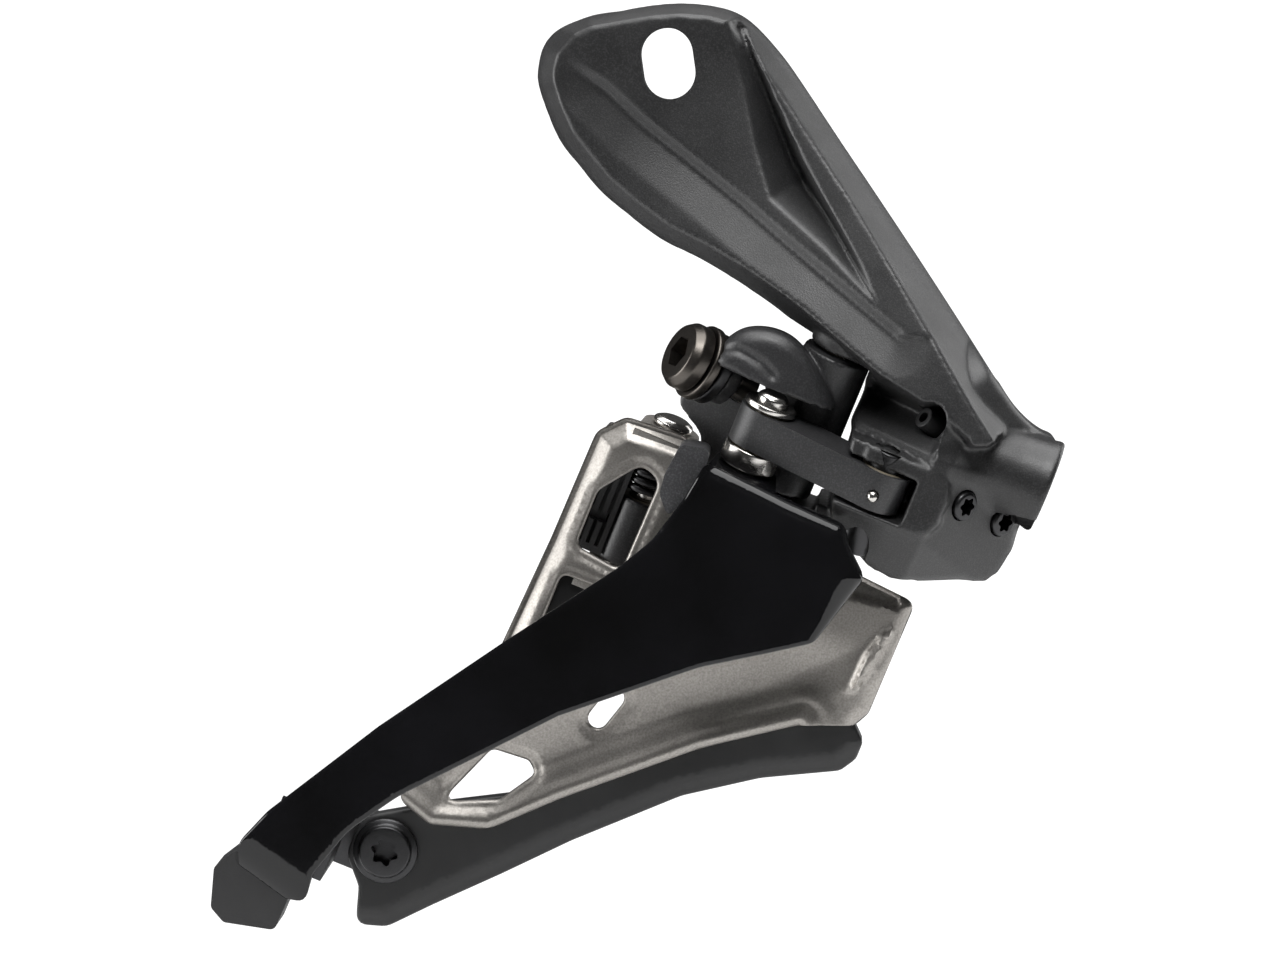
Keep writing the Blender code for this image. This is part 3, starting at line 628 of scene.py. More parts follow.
VALLEY = [(-15.5, 9.6), (-9.1, 5.1), (-3.7, 0.0), (4.3, -6.3), (9.6, -10.5), (14.9, -15.1), (20.3, -19.6),
          (25.6, -24.0), (30.0, -27.6)]
SLOT_CENTRE = Vector((-0.3, 8.5))
SLOT_LEAN = math.radians(8.0)


def arm_reach(points):
    """Distance down the arm from the slot."""
    return (points[:, 0] + 0.3) * 0.656 - (points[:, 1] - 8.5) * 0.755


def arm_face(reach):
    """Distance of the arm's flat outboard face from the mounting face."""
    return 7.2 + 16.0 * smooth(3.0, 70.0, reach)


def arm_back(points, gap):
    return -2.0 * smooth(12.0, 60.0, arm_reach(points)) - edge_drop(gap, 0.5)


def arm_front(points, gap):
    reach = arm_reach(points)
    face = -arm_face(reach)
    back = arm_back(points, far_from_rim(points))
    wide = np.interp(reach, (0, 30, 62), (2.9, 3.2, 4.6))
    rise = np.minimum(0.30 + 0.70 * np.clip(distance(points, ARM_FRONT_EDGE, False) / wide, 0, 1),
                      0.40 + 0.60 * np.clip(distance(points, ARM_REAR_EDGE, False) / 2.4, 0, 1))
    rise = np.minimum(rise, 0.45 + 0.55 * np.clip(distance(points, ARM_TOP_EDGE, False) / 1.6, 0, 1))
    fade = smooth(-12.0, -2.0, reach)
    above = np.interp(points[:, 0], *np.transpose(VALLEY)) < points[:, 1]
    spread_over = np.where(above, 1.4, 5.5)
    valley = 1.2 * np.clip(1.0 - distance(points, VALLEY, False) / spread_over, 0, 1) * fade
    depth = np.minimum(4.5 * distance(points, POCKET_STEEP, False),
                       1.15 * distance(points, POCKET_SLOPE, False))
    depth = np.where(inside(points, POCKET), np.minimum(depth, 7.0), 0.0)
    depth *= np.interp(reach, (-8, 2, 12), (0.5, 0.8, 1.0))
    thick = (back - face) * rise
    return back - np.maximum(thick - np.maximum(valley, depth), 1.6) + edge_drop(gap, 0.6)


BODY = [(37.4, -19.0), (46.0, -16.5), (52.0, -14.6), (53.6, -15.0), (56.6, -17.1), (59.3, -18.4),
        (61.6, -19.0), (63.2, -19.1), (64.5, -20.6), (64.6, -24.4), (64.3, -26.8), (63.8, -29.5),
        (63.6, -32.5), (63.9, -35.2), (63.3, -38.8), (61.9, -40.6), (58.6, -41.4), (54.0, -43.3),
        (49.9, -44.5), (46.8, -44.1), (41.4, -41.6), (39.2, -39.6), (38.6, -37.0), (38.0, -29.0),
        (37.4, -27.5)]
RIDGE = [(33.3, -10.9), (40.1, -15.3), (44.3, -18.6), (46.6, -19.3), (47.8, -19.9), (48.3, -21.8),
         (48.6, -24.7), (49.1, -28.7)]
NECK = RIDGE + [(51.3, -30.5), (67.0, -34.0), (67.0, -8.0), (40.0, -3.0)]
FRONT = [(40.2, -28.2), (48.6, -28.2), (50.6, -28.6), (52.4, -29.6), (53.0, -32.1), (52.9, -35.4),
         (52.0, -37.2), (50.4, -37.9), (44.2, -37.9), (38.0, -37.9), (38.0, -31.0), (40.2, -31.0)]


def in_world(points):
    return [tuple((CAGE @ Vector((u, 0.0, w))).xz) for u, w in points]


def in_cage(points):
    c, s = math.cos(TILT), math.sin(TILT)
    return np.column_stack([points[:, 0] * c - points[:, 1] * s, points[:, 0] * s + points[:, 1] * c])


BRACKET_OUTLINE = flowing(
    ARM_TIP + [(-15.2, 13.2)] + ARM_TOP + ARM_FRONT + in_world(BODY[3:] + [(37.3, -22.0)]) + [(24.0, -31.8)]
    + ARM_HEEL + ARM_REAR, 4)


def smooth_max(first, second, blend):
    near = np.maximum(blend - np.abs(first - second), 0.0)
    return np.maximum(first, second) + near * near / (4.0 * blend)


def bracket_front(points, gap):
    """The outboard face: arm, neck, cable boss, facet for the screws, chin and the raised front lip."""
    local = in_cage(points)
    u, w = local[:, 0], local[:, 1]
    body = inside(local, BODY)
    arm = np.where(inside(points, ARM_OUTLINE), -arm_front(points, far_from_rim(points)), 0.0)
    facet = 18.25 - (u - 55.4) * 1.0375
    line = -37.9 - 0.32 * np.maximum(u - 52.0, 0.0)
    block = np.minimum(22.3, facet) - 0.85 * np.maximum(line - w, 0.0)
    block = np.where(body, block, 0.0)
    side = distance(local, RIDGE, False)
    reach = arm_reach(points)
    neck = arm_face(reach) - (0.9 + 2.0 * (1.0 - smooth(46.0, 60.0, reach))) * side
    neck -= 2.0 * np.maximum(-28.5 - w, 0.0) + 6.0 * (1.0 - smooth(40.0, 56.0, reach))
    neck = np.where(inside(local, NECK), neck, 0.0)
    radius = np.interp(u, (50.0, 56.0, 60.0, 64.6), (5.0, 5.6, 5.8, 6.3))
    boss = 12.5 + np.sqrt(np.maximum(radius ** 2 - (w + 25.5) ** 2, 0.0))
    boss = np.where((np.abs(w + 25.5) < radius) & (u > 50.0), boss, 0.0)
    lip = np.where(inside(local, FRONT), 23.0 - edge_drop(distance(local, FRONT), 0.9), 0.0)
    # Above the fork the block falls back to the rear, under the arm's lower edge
    back = (w > -28.4) & (u < 48.5)
    block = np.where(back, np.minimum(block, 22.3 - 0.75 * (48.3 - u)), block)
    block = block - 1.3 * np.maximum(w + 27.0, 0.0)
    depth = smooth_max(block, neck, 3.0)
    depth = smooth_max(depth, boss, 2.0)
    depth = smooth_max(depth, lip, 0.5)
    depth = smooth_max(depth, arm, 0.5)
    return -depth + edge_drop(gap, 0.9)


def pivot_lug(low, high):
    """A flat ear of the bracket round the front inner pin."""
    ear = 4.2
    x, y = FRONT_INNER.xy
    turns = [math.radians(90 + 10 * step) for step in range(19)]
    outline = [(x + ear * math.cos(turn), y + ear * math.sin(turn)) for turn in turns]
    outline += [(-4.0, y - ear), (-4.0, y + ear)]
    return prism(outline, low, high, "Z")


def make_bracket():
    shell = raw_object("bracket_shell", relief(BRACKET_OUTLINE, [], bracket_front, arm_back, 0.5, 0.5))
    barrel_end = [(0, 54), (5.4, 54), (5.6, 58), (5.9, 62), (6.4, 64.4), (6.2, 64.9), (0, 64.9)]
    join(shell, turned(barrel_end, BARREL_LINE, (1, 0, 0)), CAGE)
    join(shell, pivot_lug(INNER_LOW - 3.4, INNER_LOW + 1.0), SWING)
    join(shell, pivot_lug(INNER_HIGH - 1.0, INNER_HIGH + 3.0), SWING)
    cut(shell, box((-45, -30, INNER_LOW - 0.4), (-6.3, 30, INNER_HIGH + 0.4)), SWING)
    cut(shell, box((-45, -30, -LINK_HALF - 0.5), (4.7, 7.0, LINK_HALF + 0.5)), SWING)
    cut(shell, rod(2.2, -8, 9, (47.6, -18.6, -22.7), Vector((-0.35, -0.93, 0.05))), CAGE)
    cut(shell, rod(3.0, 54, 70, BARREL_LINE, (1, 0, 0)), CAGE)
    melt(shell, 0.3, 4)
    half_slot = 1.25 * Vector((-math.sin(SLOT_LEAN), math.cos(SLOT_LEAN)))
    cut(shell, prism(capsule(SLOT_CENTRE - half_slot, SLOT_CENTRE + half_slot, 3.55, 24), -20, 10))
    counterbore = [(0, -0.45), (2.15, -0.45), (2.35, 0.1), (2.35, 3), (0, 3)]
    for place in SCREW_PLACES.values():
        cut(shell, rod(2.15, -9.0, 6, place, FACET_NORMAL), CAGE)
        cut(shell, turned(counterbore, place, FACET_NORMAL), CAGE)
    cut(shell, rod(PIN_R + 0.1, -30, 5.2), SWING)
    cut(shell, rod(INNER_PIN_R + 0.1, -30, INNER_HIGH + 2.2, FRONT_INNER), SWING)
    cut(shell, rod(1.6, 0, 20, CABLE_TO, CABLE_DIRECTION), CAGE)
    finish_piece(shell, "bracket", "bracket_paint", ["bracket"], 50.0)


def make_limit_screws():
    for (name, place), length in zip(SCREW_PLACES.items(), (7.5, 9.0)):
        profile = soft_profile([(0, -length), (2.0, -length), (2.0, 0.1), (1.7, 0.4), (0, 0.4)], 0.2)
        screw = raw_object(name + "_fine", turned(profile, place, FACET_NORMAL), CAGE)
        cut(screw, star(1.35, 2.0, place, FACET_NORMAL), CAGE)
        body = name.replace("_limit", "")
        finish_piece(screw, body, "black_steel", [name])


def pivot_piece(name, profile, pivot, body, look, replaced):
    """A pin, bush, washer or collar: a profile turned about a pivot of the links."""
    item = raw_object(name, turned(profile, pivot), SWING)
    finish_piece(item, body, look, [replaced])


def make_bracket_hardware():
    tube = soft_ring(0.75, 1.45, 1.0, 9.0)
    liner = raw_object("liner_tube", turned(tube, CABLE_TO, CABLE_DIRECTION), CAGE)
    finish_piece(liner, "bracket", "bush_polymer", ["cable_liner"], look="black_polymer")
    profile = soft_profile([(0, -9.6), (PIN_R, -9.6), (PIN_R, 5.0), (0, 5.0)], 0.3)
    pivot_piece("front_outer_shaft", profile, FRONT_OUTER, "bracket", "black_steel", "front_outer_pin")
    top = INNER_HIGH + 1.8
    profile = soft_profile([(0, -12.5), (INNER_PIN_R, -12.5), (INNER_PIN_R, top), (0, top)], 0.3)
    pivot_piece("front_inner_shaft", profile, FRONT_INNER, "bracket", "bright_steel", "front_inner_pin")


# ---------------------------------------------------------------- links

def make_outer_link():
    outline = capsule(FRONT_OUTER.xy, REAR_OUTER.xy, 3.8, 24)
    link = raw_object("outer_link_fine", prism(outline, -LINK_HALF, LINK_HALF, "Z"), SWING)
    for centre in (FRONT_OUTER, REAR_OUTER):
        cut(link, rod(3.2, -9, 9, centre), SWING)
    bevel(link, 1.2, 5)
    cut(link, rod(0.85, -3, 0.5, (-0.14, -3.8, -0.6), (0, 1, 0), 24), SWING)
    finish_piece(link, "outer_link", "link_paint", ["outer_link"])
    bush = soft_ring(PIN_R + 0.1, 3.1, -LINK_HALF, LINK_HALF)
    for end, centre in (("front", FRONT_OUTER), ("rear", REAR_OUTER)):
        pivot_piece("outer_" + end + "_bushing", bush, centre, "outer_link", "bush_polymer",
                    "outer_link_" + end + "_bush")
    dome = [(0, -0.9), (0.45, -0.8), (0.72, -0.5), (0.75, -0.1), (0.75, 0.4), (0, 0.4)]
    dowel = raw_object("link_dowel_fine", turned(dome, (-0.14, -3.9, -0.6), (0, 1, 0), 32), SWING)
    finish_piece(dowel, "outer_link", "bright_steel", ["link_dowel"])


def web_mesh():
    outline = rounded([
        (0.0, 10.0, 0), (6.0, 8.0, 2), (15.5, 7.0, 2), (18.0, 1.0, 2), (17.5, -4.0, 2), (13.0, -6.4, 2),
        (11.6, -10.0, 2), (11.8, REAR_HIGH - 0.2, 1), (LINK_LENGTH, REAR_HIGH - 0.2, 0),
        (LINK_LENGTH, REAR_LOW + 0.2, 0), (11.0, REAR_LOW + 0.2, 3), (6.0, -20.0, 4),
        (4.6, INNER_LOW - 4.3, 2), (4.6, INNER_LOW + 0.2, 0), (0.0, INNER_LOW + 0.2, 0)])
    bm = prism(outline, -1.9, 1.9)
    turn = Matrix.Rotation(LINK_TURN, 4, "Z")
    bmesh.ops.transform(bm, matrix=Matrix.Translation(FRONT_INNER) @ turn, verts=bm.verts)
    return bm


LOBE_OUTLINE = flowing([(16.6, -28.5), (17.0, -25.6), (17.9, -23.1), (19.6, -21.0), (22.4, -19.8),
                        (25.4, -19.7), (28.1, -20.7), (31.0, -22.7), (33.8, -25.3), (35.0, -27.6),
                        (34.0, -29.6), (28.0, -29.8), (22.0, -29.8), (18.5, -29.8)])
LOBE_GROOVES = ([(17.5, -24.6), (20.0, -23.7), (23.4, -24.3), (25.4, -25.2)],
                [(17.0, -27.2), (19.0, -26.9), (21.5, -27.3), (23.5, -28.0)])


def lobe_front(points, gap):
    """Outboard face of the cable arm: a crowned cap with two shallow cable grooves."""
    crown = -17.4 + 0.010 * (points[:, 0] - 26.0) ** 2
    for groove in LOBE_GROOVES:
        crown = crown + 0.55 * (1.0 - smooth(0.0, 1.0, distance(points, groove, False)))
    return crown + edge_drop(gap, 2.2)


def lobe_back(points, gap):
    return -5.5 - edge_drop(gap, 1.5)


def make_inner_link():
    link = raw_object("inner_link_fine", web_mesh(), SWING)
    join(link, rod(3.75, INNER_LOW, INNER_HIGH, FRONT_INNER), SWING)
    join(link, rod(3.7, REAR_LOW, REAR_HIGH, REAR_INNER), SWING)
    lobe = raw_object("lobe", relief(LOBE_OUTLINE, [], lobe_front, lobe_back, 0.5, 0.5), CAGE)
    cut(lobe, box((-40, -12, -5), (5, 20, 5.6)), SWING)
    blend(link, lobe, "UNION")
    join(link, rod(4.65, 0.5, INNER_HIGH - 0.3, FRONT_INNER), SWING)
    join(link, rod(4.0, -8.6, 1 - BOLT_STACK, BOLT_FACE, BOLT_AXIS), CAGE)
    cut(link, rod(5.5, -BOLT_STACK, 12, BOLT_FACE, BOLT_AXIS), CAGE)
    melt(link, 0.28, 4)
    ends = (("front", FRONT_INNER, INNER_LOW, INNER_HIGH), ("rear", REAR_INNER, REAR_LOW, REAR_HIGH))
    for _, centre, low, high in ends:
        cut(link, rod(3.0, low - 0.5, high + 0.5, centre), SWING)
    cut(link, rod(2.6, -16.0, 0, BOLT_FACE, BOLT_AXIS), CAGE)
    finish_piece(link, "inner_link", "link_paint", ["inner_link"], 50.0)
    for end, centre, low, high in ends:
        bush = soft_ring(INNER_PIN_R + 0.1, 2.9, low, high)
        pivot_piece("inner_" + end + "_bushing", bush, centre, "inner_link", "bush_polymer",
                    "inner_link_" + end + "_bush")


def make_spring_cover():
    """Ribbed cover on the inner link round the return spring, seen through the plate's windows."""
    x, y = REAR_INNER.xy
    plan = rounded([(x - 8.6, y - 3.0, 1), (x + 2.0, y - 3.4, 1), (x + 3.4, y + 2.6, 1),
                    (x - 8.0, y + 2.8, 1)])
    cover = raw_object("spring_cover", prism(plan, REAR_LOW + 0.4, REAR_HIGH + 7.5, "Z"), SWING)
    cut(cover, rod(4.1, REAR_LOW - 1, REAR_HIGH + 9.0, REAR_INNER), SWING)
    for step in range(7):
        start = x - 7.6 + 1.25 * step
        cut(cover, box((start, y - 6, REAR_LOW + 1.4), (start + 0.55, y - 2.5, REAR_HIGH + 6.6)), SWING)
    cut(cover, box((x - 9, y - 6, -23.2), (x - 3.4, y - 1.9, -21.8)), SWING)
    finish_piece(cover, "inner_link", "black_polymer")


def make_cable_bolt():
    end = -BOLT_STACK - 5.5
    profile = soft_profile([(0, end), (2.4, end), (2.4, -2.8), (4.65, -2.8), (4.65, -1.1), (3.9, 0.0),
                            (0, 0.0)], 0.22)
    bolt = raw_object("cable_bolt_fine", turned(profile, BOLT_FACE, BOLT_AXIS, 96), CAGE)
    cut(bolt, hexagon(4.0, 2.4, BOLT_FACE, BOLT_AXIS), CAGE)
    finish_piece(bolt, "inner_link", "bolt_steel", ["cable_bolt"])
    rings = (("cable_washer", soft_ring(2.6, 5.2, -4.4, -3.1, 0.3), "bolt_steel"),
             ("cable_clamp", soft_ring(2.6, 4.9, -6.3, -4.7, 0.35), "black_steel"))
    for name, ring, look in rings:
        item = raw_object(name + "_fine", turned(ring, BOLT_FACE, BOLT_AXIS, 96), CAGE)
        finish_piece(item, "inner_link", "bolt_steel", [name], look=look)


# ---------------------------------------------------------------- cage

OUTER_OUTLINE = rounded([
    (21.3, -38.8, 1.2), (33.5, -39.4, 1), (41.4, -39.6, 1.8), (43.2, -42.2, 2), (46.6, -45.2, 2),
    (43.5, -55.5, 3), (38.6, -58.9, 6), (30.7, -64.2, 20), (15.9, -77.2, 0), (0.2, -95.2, 20),
    (-4.2, -102.0, 10), (-6.4, -109.0, 3), (-6.0, -113.0, 1.5), (-14.5, -115.3, 2), (-17.2, -109.0, 3),
    (-15.1, -103.6, 6), (-5.7, -87.6, 0), (5.1, -71.5, 0), (15.9, -55.9, 8), (18.6, -51.0, 8),
    (20.5, -44.0, 4)], 8)
BENT_EDGE = [(22.5, -38.6), (33.5, -39.4), (41.4, -39.6), (43.2, -42.2), (46.6, -45.2), (43.5, -55.5)]
BAND_RINGS = (0.05, 0.16, 0.34, 0.6, 1.0, 1.5, 2.1, 2.7, 3.0, 3.15, 3.3, 3.45, 3.6, 3.9)


def outer_front(points, gap):
    wide = 3.3 * (0.35 + 0.65 * smooth(-56.0, -47.0, points[:, 1]))
    bent = 0.8 * edge_drop(distance(points, BENT_EDGE, False), wide)
    past = np.clip(-108.8 - 0.25 * (points[:, 0] + 10.0) - points[:, 1], 0.0, 5.5)
    tail = 7.0 - np.sqrt(49.0 - past * past)
    return OUTER_FACE + np.maximum(np.maximum(bent, tail), edge_drop(gap, 0.55))


def outer_back(points, gap):
    return outer_front(points, far_from_rim(points)) + PLATE - edge_drop(gap, 0.4)


def swing_y(v, height):
    return (v - SWING.translation.y + height * math.sin(LEAN)) / math.cos(LEAN)


def tab_outline(centre, radius, edge, half):
    points = []
    side = 1.0 if edge > centre.y else -1.0
    for step in range(25):
        turn = math.pi * step / 24
        points.append((centre.x + radius * math.cos(turn), centre.y - side * radius * math.sin(turn)))
    points.append((centre.x - half, edge))
    points.append((centre.x + half, edge))
    return points


def make_outer_plate():
    form = relief(OUTER_OUTLINE, [], outer_front, outer_back, 0.65, 0.5, BAND_RINGS)
    plate = raw_object("outer_plate_fine", form, CAGE)
    finish_piece(plate, "cage", "gloss_paint", ["outer_plate"], 60.0)
    edge = swing_y(OUTER_FACE + 1.6, -5.9)
    outline = tab_outline(REAR_OUTER, 4.3, edge, 5.2)
    tab = raw_object("outer_plate_lug", prism(outline, -7.7, -5.9, "Z"), SWING)
    cut(tab, rod(PIN_R + 0.1, -12, 2, REAR_OUTER), SWING)
    bevel(tab, 0.45, 4)
    finish_piece(tab, "cage", "gloss_paint")


INNER_OUTLINE = rounded([
    (6.2, -41.5, 2.5), (9.2, -38.2, 2), (17.5, -37.6, 2), (22.5, -41.5, 3), (33.0, -45.8, 5),
    (46.5, -46.2, 2), (54.6, -46.8, 1.5), (54.4, -63.0, 2), (53.3, -65.2, 1.5), (46.4, -67.8, 10),
    (35.1, -75.9, 30), (20.2, -89.4, 20), (12.9, -96.8, 8), (5.1, -99.3, 4), (-0.5, -97.5, 2.5),
    (1.5, -90.0, 5), (5.1, -73.0, 0), (5.9, -57.0, 0)], 8)
WINDOWS = [
    rounded([(9.4, -56.8, 1.4), (16.3, -57.6, 1.4), (16.6, -44.5, 2), (13.5, -43.4, 2), (9.4, -48.8, 2)], 8),
    rounded([(9.1, -61.0, 1.2), (16.5, -61.0, 1.2), (16.5, -64.5, 1.2), (9.1, -73.0, 1.2)], 8),
    capsule((20.9, -77.4), (21.9, -74.0), 1.35), rounded([(5.5, -95.8, 1.0), (12.7, -92.6, 1.2),
    (15.9, -87.5, 1.0), (14.4, -86.2, 1.0), (9.2, -86.6, 1.2)], 8)]
LEFT_EDGE = [(5.1, -73.0), (5.9, -57.0), (6.2, -41.5), (9.2, -38.2), (17.5, -37.6)]
LOWER_EDGE = [(46.4, -67.8), (35.1, -75.9), (20.2, -89.4), (12.9, -96.8), (5.1, -99.3), (-0.5, -97.5)]
RIGHT_EDGE = [(46.5, -46.2), (54.6, -46.8), (54.4, -63.0), (53.3, -65.2)]
RAISED_LEAF = rounded([(50.4, -61.5, 1), (50.6, -55.5, 3), (51.6, -52.0, 1.5), (53.3, -50.6, 1),
                       (53.6, -52.0, 1), (52.9, -56.0, 2), (51.8, -60.5, 1)])
TOP_STEP = rounded([(44.0, -45.9, 1), (52.8, -46.6, 1), (53.0, -48.6, 0.8), (46.8, -49.2, 1),
                  (43.0, -49.0, 2)])


def inner_front(points, gap):
    """Outboard face: rolled left and lower rims, pressed-in fields and the raised leaf at the front."""
    left = distance(points, LEFT_EDGE, False)
    height = -chamfer(left, 2.8, 0.72)
    lower = distance(points, LOWER_EDGE, False)
    height += 1.1 * (1.0 - smooth(0.6, 3.4, lower)) - 0.8 * edge_drop(lower, 1.6)
    height -= 0.7 * smooth(3.2, 5.5, lower) * (1.0 - smooth(6.0, 14.0, lower))
    right = distance(points, RIGHT_EDGE, False)
    height -= 0.7 * edge_drop(right, 2.2)
    ramp = np.clip((points[:, 0] - 33.7) * 0.72 + (points[:, 1] + 72.3) * -0.69, 0.0, 4.0)
    height += np.where(points[:, 0] > 31.0, 0.14 * ramp * smooth(2.5, 5.0, lower), 0.0)
    leaf = smooth(0.0, 0.8, distance(points, RAISED_LEAF))
    height += np.where(inside(points, RAISED_LEAF), 1.2 * leaf, 0.0)
    step = smooth(0.0, 0.7, distance(points, TOP_STEP))
    height -= np.where(inside(points, TOP_STEP), step, 0.0)
    drop = np.zeros(len(points))
    for window in WINDOWS:
        near = distance(points, window)
        height -= 0.30 * (1.0 - smooth(0.9, 1.5, near))
        drop = np.maximum(drop, edge_drop(near, 0.5))
    return INNER_FACE - height + drop + edge_drop(gap, 0.12)


def inner_back(points, gap):
    return np.minimum(inner_front(points, far_from_rim(points)) + PLATE, -8.5) - edge_drop(gap, 0.35)


def make_inner_plate():
    form = relief(INNER_OUTLINE, WINDOWS, inner_front, inner_back, 0.7, 0.45)
    plate = raw_object("inner_plate_fine", form, CAGE)
    finish_piece(plate, "cage", "plate_metal", ["inner_plate"], 50.0)
    backing = rounded([(7.6, -59.6, 1), (17.6, -59.6, 1), (17.6, -65.0, 1), (7.6, -74.6, 1)])
    backing = raw_object("lower_window_backing", prism(backing, -8.3, -7.3), CAGE)
    finish_piece(backing, "cage", "black_polymer")
    for name, high in (("upper", FLANGE_HIGH), ("lower", REAR_LOW - 0.4)):
        edge = swing_y(INNER_FACE + 0.7, high - 0.9)
        tab = raw_object("inner_plate_" + name + "_lug",
                         prism(tab_outline(REAR_INNER, 4.0, edge, 4.6), high - 1.8, high, "Z"), SWING)
        cut(tab, rod(INNER_PIN_R + 0.1, -40, 2, REAR_INNER), SWING)
        bevel(tab, 0.4, 3)
        finish_piece(tab, "cage", "plate_metal")


def make_rear_pins():
    profile = soft_profile([(0, -8.6), (3.0, -8.6), (3.0, -8.0), (PIN_R, -8.0), (PIN_R, 4.5), (1.7, 5.0),
                            (0, 5.0)], 0.2)
    pivot_piece("rear_outer_shaft", profile, REAR_OUTER, "cage", "bright_steel", "rear_outer_pin")
    washer = soft_ring(PIN_R + 0.1, 3.6, 2.9, 3.7, 0.2)
    pivot_piece("rear_outer_washer_fine", washer, REAR_OUTER, "cage", "bright_steel", "rear_outer_washer")
    collar = soft_ring(PIN_R + 0.1, 3.9, -5.6, -2.9, 0.3)
    pivot_piece("rear_outer_collar_fine", collar, REAR_OUTER, "cage", "bright_steel", "rear_outer_collar")
    low, top = REAR_LOW - 3.0, FLANGE_HIGH + 0.3
    profile = soft_profile([(0, low), (INNER_PIN_R, low), (INNER_PIN_R, top), (2.8, top), (2.8, top + 0.6),
                            (1.9, top + 1.1), (0, top + 1.1)], 0.25)
    pivot_piece("rear_inner_shaft", profile, REAR_INNER, "cage", "bright_steel", "rear_inner_pin")


def make_spring():
    turns, mean, wire, sides = 6, 3.2, 0.5, 12
    low, high = REAR_HIGH + 0.9, FLANGE_HIGH - 2.7
    bm = bmesh.new()
    rings = []
    steps = 36 * turns
    for step in range(steps + 1):
        t = step / steps
        turn = 2 * math.pi * turns * t
        outward = Vector((math.cos(turn), math.sin(turn), 0))
        centre = REAR_INNER + outward * mean + Vector((0, 0, low + (high - low) * t))
        angles = [2 * math.pi * side / sides for side in range(sides)]
        rings.append([bm.verts.new(centre + wire * (outward * math.cos(a) + Vector((0, 0, math.sin(a)))))
                      for a in angles])
    for first, second in zip(rings, rings[1:]):
        skin(bm, first, second)
    bm.faces.new(rings[0])
    bm.faces.new(list(reversed(rings[-1])))
    spring = raw_object("return_spring_fine", bm, SWING)
    finish_piece(spring, "cage", "black_steel", ["return_spring"], 60.0)


def make_cage_bridge():
    leaf = rounded([(17.4, -37.9, 1.2), (21.6, -36.9, 1.4), (21.4, -41.0, 2), (19.5, -47.6, 0.8),
                    (17.2, -45.0, 2), (16.9, -42.5, 2)], 6)
    bridge = raw_object("cage_bridge_fine", prism(leaf, OUTER_FACE + PLATE + 0.3, INNER_FACE - 0.3), CAGE)
    bevel(bridge, 0.5, 4)
    finish_piece(bridge, "cage", "bridge_metal", ["cage_bridge"])
    for name, at in (("upper", (19.3, 0, -42.9)), ("lower", (19.2, 0, -45.7))):
        profile = [(0, -13.7), (0.8, -13.7), (0.8, -8.3), (1.3, -8.3), (1.25, -8.05), (0.9, -7.8), (0, -7.7)]
        rivet = raw_object("bridge_rivet_" + name + "_fine", turned(profile, at, (0, 1, 0), 32), CAGE)
        finish_piece(rivet, "cage", "bright_steel", ["bridge_rivet_" + name])


PAD_OUTLINE = rounded([
    (52.6, -64.4, 1), (55.2, -66.8, 1.5), (55.3, -69.6, 1.6), (53.9, -71.9, 2), (44.3, -76.9, 12),
    (35.3, -83.2, 8), (23.8, -94.5, 0), (16.8, -102.2, 0), (9.6, -109.8, 0), (5.0, -114.9, 3),
    (1.0, -116.2, 1.5), (-0.6, -111.0, 2), (-3.8, -107.5, 3), (-3.8, -102.0, 4), (5.0, -96.5, 8),
    (14.0, -91.5, 4), (24.0, -81.5, 0), (36.0, -70.5, 10), (45.0, -64.8, 4)], 8)
PAD_LOW_EDGE = [(55.3, -69.6), (53.9, -71.9), (44.3, -76.9), (35.3, -83.2), (23.8, -94.5), (9.6, -109.8),
                (5.0, -114.9), (1.0, -116.2)]


def pad_front(points, gap):
    low = distance(points, PAD_LOW_EDGE, False)
    face = -8.3 + 1.4 * (1.0 - smooth(0.0, 2.6, low))
    return face + edge_drop(gap, 0.5)


def pad_back(points, gap):
    return -4.3 - edge_drop(gap, 0.7)


def make_skid_pad():
    pad = raw_object("skid_pad_fine", relief(PAD_OUTLINE, [], pad_front, pad_back, 1.0, 0.6), CAGE)
    cut(pad, rod(2.1, -20, 10, SKID_SCREW_AT, (0, 1, 0)), CAGE)
    finish_piece(pad, "cage", "black_polymer", ["skid_pad"], 50.0)
    profile = soft_profile([(0, -2.0), (2.0, -2.0), (2.0, -8.6), (4.4, -8.6), (4.4, -9.3), (3.6, -9.6),
                            (3.4, -10.5), (0, -10.5)], 0.25)
    screw = raw_object("skid_screw_fine", turned(profile, SKID_SCREW_AT, (0, 1, 0), 96), CAGE)
    cut(screw, star(1.9, 2.4, SKID_SCREW_AT + Vector((0, -10.5, 0)), (0, -1, 0)), CAGE)
    finish_piece(screw, "cage", "black_steel", ["skid_screw"])


def make_tail():
    low, high = OUTER_FACE + PLATE + 0.3, -4.0
    wall = 1.5
    plan = [(-14.0, low), (-5.2, low), (-5.2, high), (5.0, high), (5.0, high + wall), (-6.7, high + wall),
            (-6.7, low + wall), (-14.0, low + wall)]
    bridge = raw_object("tail_bridge_fine", prism(plan, -109.8, -101.2, "Z"), CAGE)
    cut(bridge, rod(2.1, -20, 10, SKID_SCREW_AT, (0, 1, 0)), CAGE)
    bevel(bridge, 0.35, 3)
    finish_piece(bridge, "cage", "black_steel", ["tail_bridge"])
    outline = rounded([(-17.1, -110.2, 1), (-19.0, -113.4, 1), (-17.4, -118.6, 1), (-15.1, -119.8, 1),
                       (-8.4, -118.2, 1), (-8.2, -110.2, 1)], 5)
    block = raw_object("tail_block_fine", prism(outline, low, low + 10.5), CAGE)
    bevel(block, 0.5, 4)
    finish_piece(block, "cage", "black_polymer", ["tail_block"])


# ---------------------------------------------------------------- stage

ROOM_STRENGTH = 0.05            # the world as the part is lit by it
BACKDROP_STRENGTH = 1.2         # the world as seen behind the part


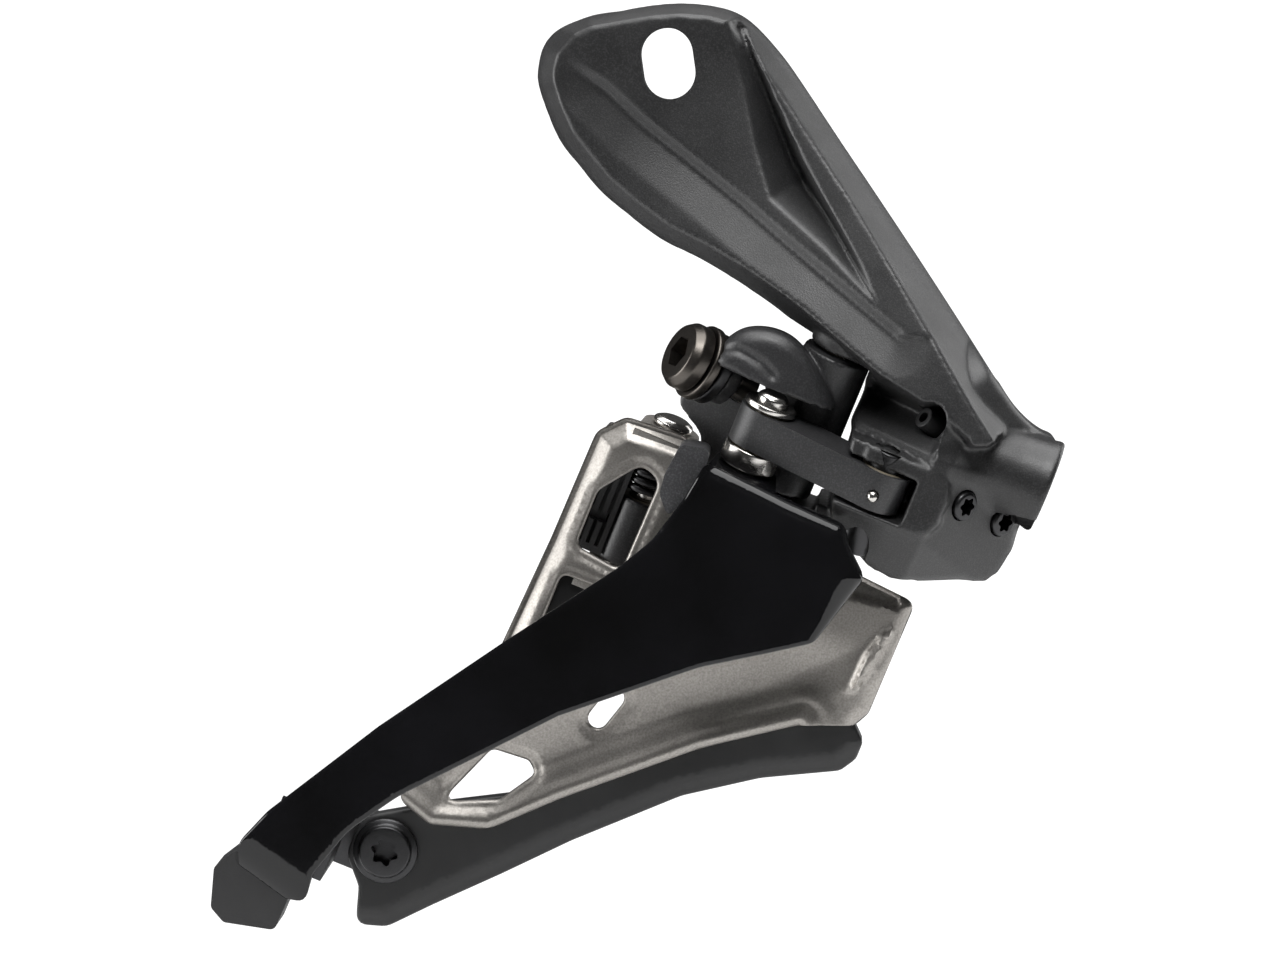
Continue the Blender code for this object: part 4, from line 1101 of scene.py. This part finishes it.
def look_at(item, target):
    item.rotation_euler = (Vector(target) - item.location).to_track_quat("-Z", "Y").to_euler()


def make_camera():
    azimuth, elevation, range_mm = math.radians(2.0), math.radians(4.0), 750.0
    target = Vector((-3.733, -15.0, -46.933))
    back = Vector((math.sin(azimuth) * math.cos(elevation), -math.cos(azimuth) * math.cos(elevation),
                   math.sin(elevation)))
    camera = bpy.data.objects.new("camera", bpy.data.cameras.new("camera"))
    bpy.context.collection.objects.link(camera)
    camera.location = (target + range_mm * back) * MM
    camera.data.lens = 158.2
    camera.data.sensor_width = 36.0
    camera.data.clip_start = 0.01
    look_at(camera, target * MM)
    bpy.context.scene.camera = camera


def make_light(name, place, target, size, power, height=None):
    lamp = bpy.data.lights.new(name, "AREA")
    lamp.shape = "RECTANGLE"
    lamp.size = size
    lamp.size_y = height or size
    lamp.energy = power
    item = bpy.data.objects.new(name, lamp)
    bpy.context.collection.objects.link(item)
    item.location = place
    look_at(item, target)


def make_stage():
    centre = (0.0, -0.01, -0.05)
    make_light("top", (0.05, 0.00, 0.65), centre, 0.75, 7.0)
    make_light("right", (0.55, 0.36, 0.05), centre, 0.40, 2.4, height=0.7)
    make_light("left", (-0.60, -0.13, -0.06), centre, 0.45, 5.5, height=0.7)
    make_light("key", (0.08, -0.52, 0.60), centre, 0.30, 3.8)
    world = bpy.data.worlds.new("studio")
    world.use_nodes = True
    nodes, links = world.node_tree.nodes, world.node_tree.links
    background = nodes["Background"]
    background.inputs["Color"].default_value = (1.0, 1.0, 1.0, 1.0)
    path = nodes.new("ShaderNodeLightPath")
    mix = nodes.new("ShaderNodeMapRange")
    mix.inputs["To Min"].default_value = ROOM_STRENGTH
    mix.inputs["To Max"].default_value = BACKDROP_STRENGTH
    links.new(path.outputs["Is Camera Ray"], mix.inputs["Value"])
    links.new(mix.outputs["Result"], background.inputs["Strength"])
    bpy.context.scene.world = world
    bpy.context.scene.view_settings.view_transform = "Standard"
    mesh = bpy.data.meshes.new("floor")
    level = plain(CAD_BOX)[0][2] - 0.02
    mesh.from_pydata([(-0.4, -0.2, level), (0.4, -0.2, level), (0.4, 0.075, level), (-0.4, 0.075, level)], [],
                     [(0, 1, 2, 3)])
    floor = bpy.data.objects.new("floor", mesh)
    bpy.context.collection.objects.link(floor)
    mesh.materials.append(new_material("pale_floor", (0.85, 0.85, 0.85), 0.9, 0.0)[0])


def plain(bounds):
    return [[float(c) for c in corner] for corner in bounds]


make_camera()
make_bracket()
make_limit_screws()
make_bracket_hardware()
make_outer_link()
make_inner_link()
make_spring_cover()
make_cable_bolt()
make_outer_plate()
make_inner_plate()
make_rear_pins()
make_spring()
make_cage_bridge()
make_skid_pad()
make_tail()
make_stage()
